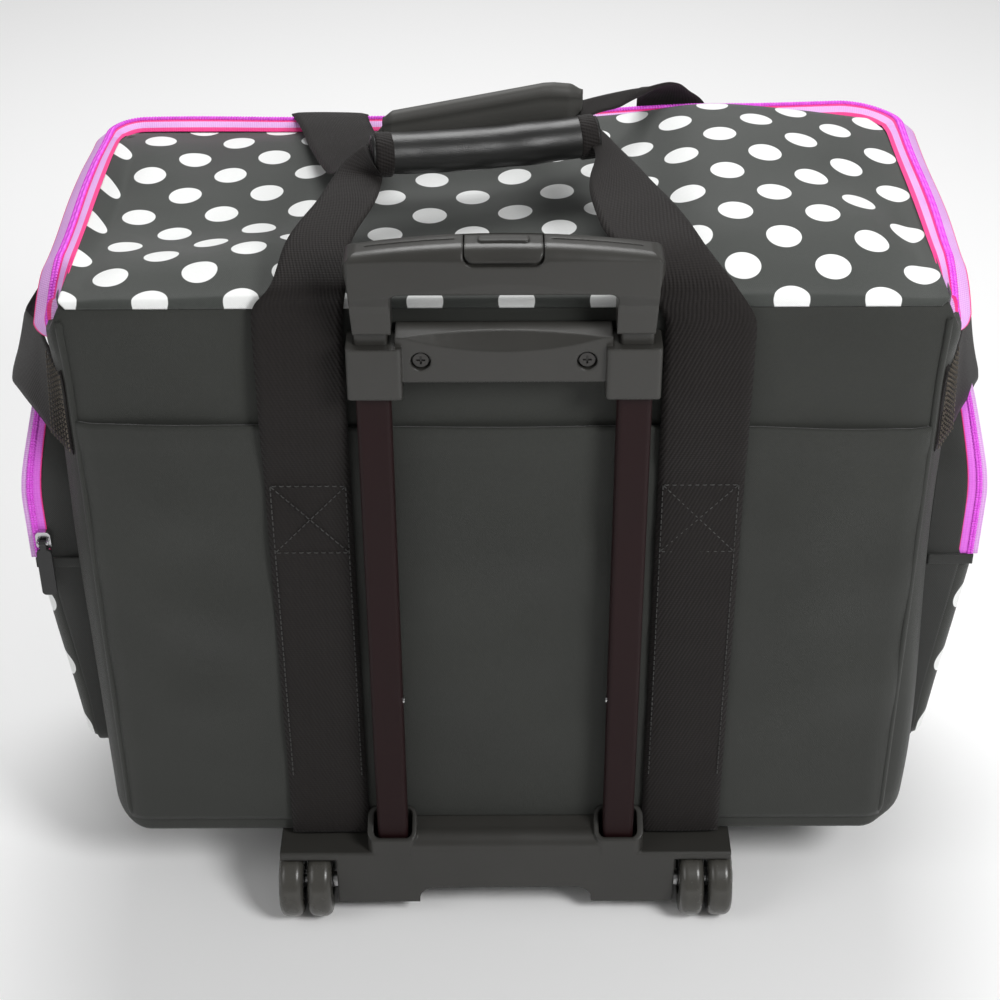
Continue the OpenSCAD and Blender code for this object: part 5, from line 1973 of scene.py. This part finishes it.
    def strip(self, name: str, d0: float, d1: float, finish: str) -> bpy.types.Object:
        """Zip tape along the U: a flat strip between two depths, facing out of the outline.

        Args:
            name: name of the piece.
            d0: depth of one edge.
            d1: depth of the other edge.
            finish: name of the finish.

        Returns:
            The tape.
        """
        edges = [self.along(0.7, d) for d in (d0, d1)]
        up = unit(self.along(1.0, d0) - self.along(0.0, d0))
        across = unit(edges[1] - edges[0])
        section = loop_profile(abs(d1 - d0), 1.0, 0.4, 3)
        return sweep(name, (edges[0] + edges[1]) / 2, across, section, finish, up=up, flat=True)

    def coil(self, name: str, d: float) -> bpy.types.Object:
        """Half of the coil along the U, at depth d."""
        path, out = (self.along(0.9, depth, 1400) for depth in (d, d + 1))
        return coil(name, path, unit(out - path), self.coil_radius, 8, 0.15)

    def build(self) -> None:
        """Build the whole pocket on the bag, and its flap on the flap's own body."""
        w = self.word
        lower = self.patch(f"{w}_lower_face", 0.0, self.fold - 0.15)
        flap = self.patch(f"{w}_flap", self.fold + 0.15, self.tall)
        wall = self.gusset()
        hem = self.hem()
        z = self.zip_at
        fixed = self.strip(f"{w}_tape", z - 7.0, z - 0.9, "zip_deep")
        moving = self.strip(f"{w}_flap_tape", z + 0.9, z + 5.0, "zip")
        half1 = self.coil(f"{w}_coil", z - 0.75)
        half2 = self.coil(f"{w}_flap_coil", z + 0.95)
        node = "front_pocket" if w == "front" else f"side_pocket_{w}"
        settle(lower, "bag", "cloth", node)
        for part, slot in ((wall, "gusset"), (hem, "gusset"), (half1, "zip")):
            settle(part, "bag", slot)
        settle(fixed, "bag", "zip", f"pocket_zip_{w}")
        settle(flap, self.body, "dotted", f"pocket_flap_{w}")
        settle(moving, self.body, "zip")
        settle(half2, self.body, "zip")


def pockets() -> list[Pocket]:
    """The three pockets with their places on the bag.

    Returns:
        The pockets on the left, on the right and on the front.
    """

    def left(a: Array, d: Array, z: Array) -> Array:
        """Place on the left: across, out of the panel and up."""
        return np.stack(np.broadcast_arrays(-F.half_w - d, -a, z), -1)

    def right(a: Array, d: Array, z: Array) -> Array:
        """Place on the right."""
        return np.stack(np.broadcast_arrays(F.half_w + d, a, z), -1)

    def front(a: Array, d: Array, z: Array) -> Array:
        """Place on the front."""
        return np.stack(np.broadcast_arrays(-a, F.half_d + 3.0 + d, z), -1)

    return [
        Pocket("left", "flap_left", 1, left),
        Pocket("right", "flap_right", -1, right),
        Pocket(
            "front", "flap_front", 1, front,
            width=400.0, foot=22.0, tall=186.0, flap=96.0, lean=0.0, top_lean=0.0,
        ),
    ]


# Finish, slot and nodes of the pieces that keep their CAD shape
RIGID = (
    ("board", "board", "back_board base_board"),
    ("plastic", "plastic", "base_moulding handle_bracket neck_bushes mid_collars push_button"),
    ("plastic", "plastic", "trolley_handle tie_down_buckles front_feet"),
    ("tube", "tube", "outer_tubes"),
    ("inner_tube", "inner_tube", "mid_tubes inner_tubes"),
    ("steel", "steel", "tube_rivets wheel_axles button_spring"),
    ("screw", "steel", "trolley_screws"),
    ("wheel", "wheel", "wheel_left_outer wheel_left_inner wheel_right_inner wheel_right_outer"),
    ("slider", "slider", "lid_slider_left lid_slider_right"),
    ("slider", "slider", "pocket_slider_left pocket_slider_right pocket_slider_front"),
    ("pull", "pull", "lid_pull_left lid_pull_right"),
    ("pull", "pull", "pocket_pull_left pocket_pull_right pocket_pull_front"),
)


@dataclass
class Studio:
    """Camera fitted to the photograph, soft lights and a pale floor."""

    lens: float = 72.54
    sensor: float = 36.0
    pixels: int = 1000
    eye: tuple = (-1.57, -1096.8, 918.1)
    down: float = 34.196
    yaw: float = -0.057
    roll: float = 0.255
    floor: Colour = (0.97, 0.97, 0.97)
    aim: tuple = (0.0, 0.0, 0.25)
    haze: float = 0.24

    def camera(self) -> None:
        """Place the camera: f = 2015 px over 1000 px on a 36 mm sensor."""
        data = bpy.data.cameras.new("camera")
        data.lens, data.sensor_width = self.lens, self.sensor
        data.clip_start, data.clip_end = 0.05, 60.0
        cam = bpy.data.objects.new("camera", data)
        turn = (
            Matrix.Rotation(math.radians(-self.yaw), 4, "Z")
            @ Matrix.Rotation(math.radians(90 - self.down), 4, "X")
            @ Matrix.Rotation(math.radians(-self.roll), 4, "Z")
        )
        cam.matrix_world = Matrix.Translation(F.at(*self.eye)) @ turn
        bpy.context.scene.collection.objects.link(cam)
        scene = bpy.context.scene
        scene.camera = cam
        scene.render.resolution_x = scene.render.resolution_y = self.pixels
        scene.view_settings.view_transform = "Standard"

    def light(self, name: str, place: Sequence[float], size: float, power: float) -> None:
        """One soft area light aimed at the bag.

        Args:
            name: name of the light.
            place: where it stands, in metres.
            size: width of its disk in metres.
            power: its power in watts.
        """
        data = bpy.data.lights.new(name, "AREA")
        data.shape, data.size, data.energy = "DISK", size, power
        lamp = bpy.data.objects.new(name, data)
        lamp.location = place
        aim = Vector(self.aim) - Vector(place)
        lamp.rotation_euler = aim.to_track_quat("-Z", "Y").to_euler()
        bpy.context.scene.collection.objects.link(lamp)
        lamp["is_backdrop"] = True

    def world(self) -> None:
        """White to the camera, and soft grey light all round."""
        world = bpy.data.worlds.new("studio")
        bpy.context.scene.world = world
        world.use_nodes = True
        tree = world.node_tree
        tree.nodes.clear()
        path = tree.nodes.new("ShaderNodeLightPath")
        fill, seen = (tree.nodes.new("ShaderNodeBackground") for _ in range(2))
        for shade in (fill, seen):
            shade.inputs["Color"].default_value = (1, 1, 1, 1)
        fill.inputs["Strength"].default_value = self.haze
        mix = tree.nodes.new("ShaderNodeMixShader")
        out = tree.nodes.new("ShaderNodeOutputWorld")
        tree.links.new(path.outputs["Is Camera Ray"], mix.inputs[0])
        tree.links.new(fill.outputs[0], mix.inputs[1])
        tree.links.new(seen.outputs[0], mix.inputs[2])
        tree.links.new(mix.outputs[0], out.inputs["Surface"])

    def build(self) -> None:
        """Set up the whole studio."""
        self.camera()
        self.world()
        bpy.ops.mesh.primitive_plane_add(size=8.0, location=(0, 0, 0))
        ground = bpy.context.object
        ground.name = "floor"
        ground.data.materials.append(Maker("floor").finish(rgba(self.floor), 0.9))
        ground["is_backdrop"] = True
        self.light("key", (0.8, -0.95, 1.15), 0.5, 14.5)
        self.light("fill", (-1.5, -1.0, 1.3), 1.2, 8.0)
        self.light("top", (0.0, 1.0, 2.2), 1.4, 36.0)


def size_line(name: str) -> dict[str, list[list[float]]]:
    """The shown bag's bounds under a name, as plain lists."""
    low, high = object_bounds()
    return {name: [[float(c) for c in low], [float(c) for c in high]]}


def main() -> None:
    """Build the whole scene round the frame."""
    logging.basicConfig(level=logging.INFO, format="%(message)s")
    sizes = size_line("frame")
    kinds = (Studio, BodyShell, Inside, SlipPocket, Lid, ZipBands, Straps, Grips, SideLoops)
    for made in (*(kind() for kind in kinds), *pockets()):
        made.build()
    for finish, slot, nodes in RIGID:
        dress(finish, slot, *nodes.split())
    sizes.update(size_line("shown"))


if __name__ == "__main__":
    main()
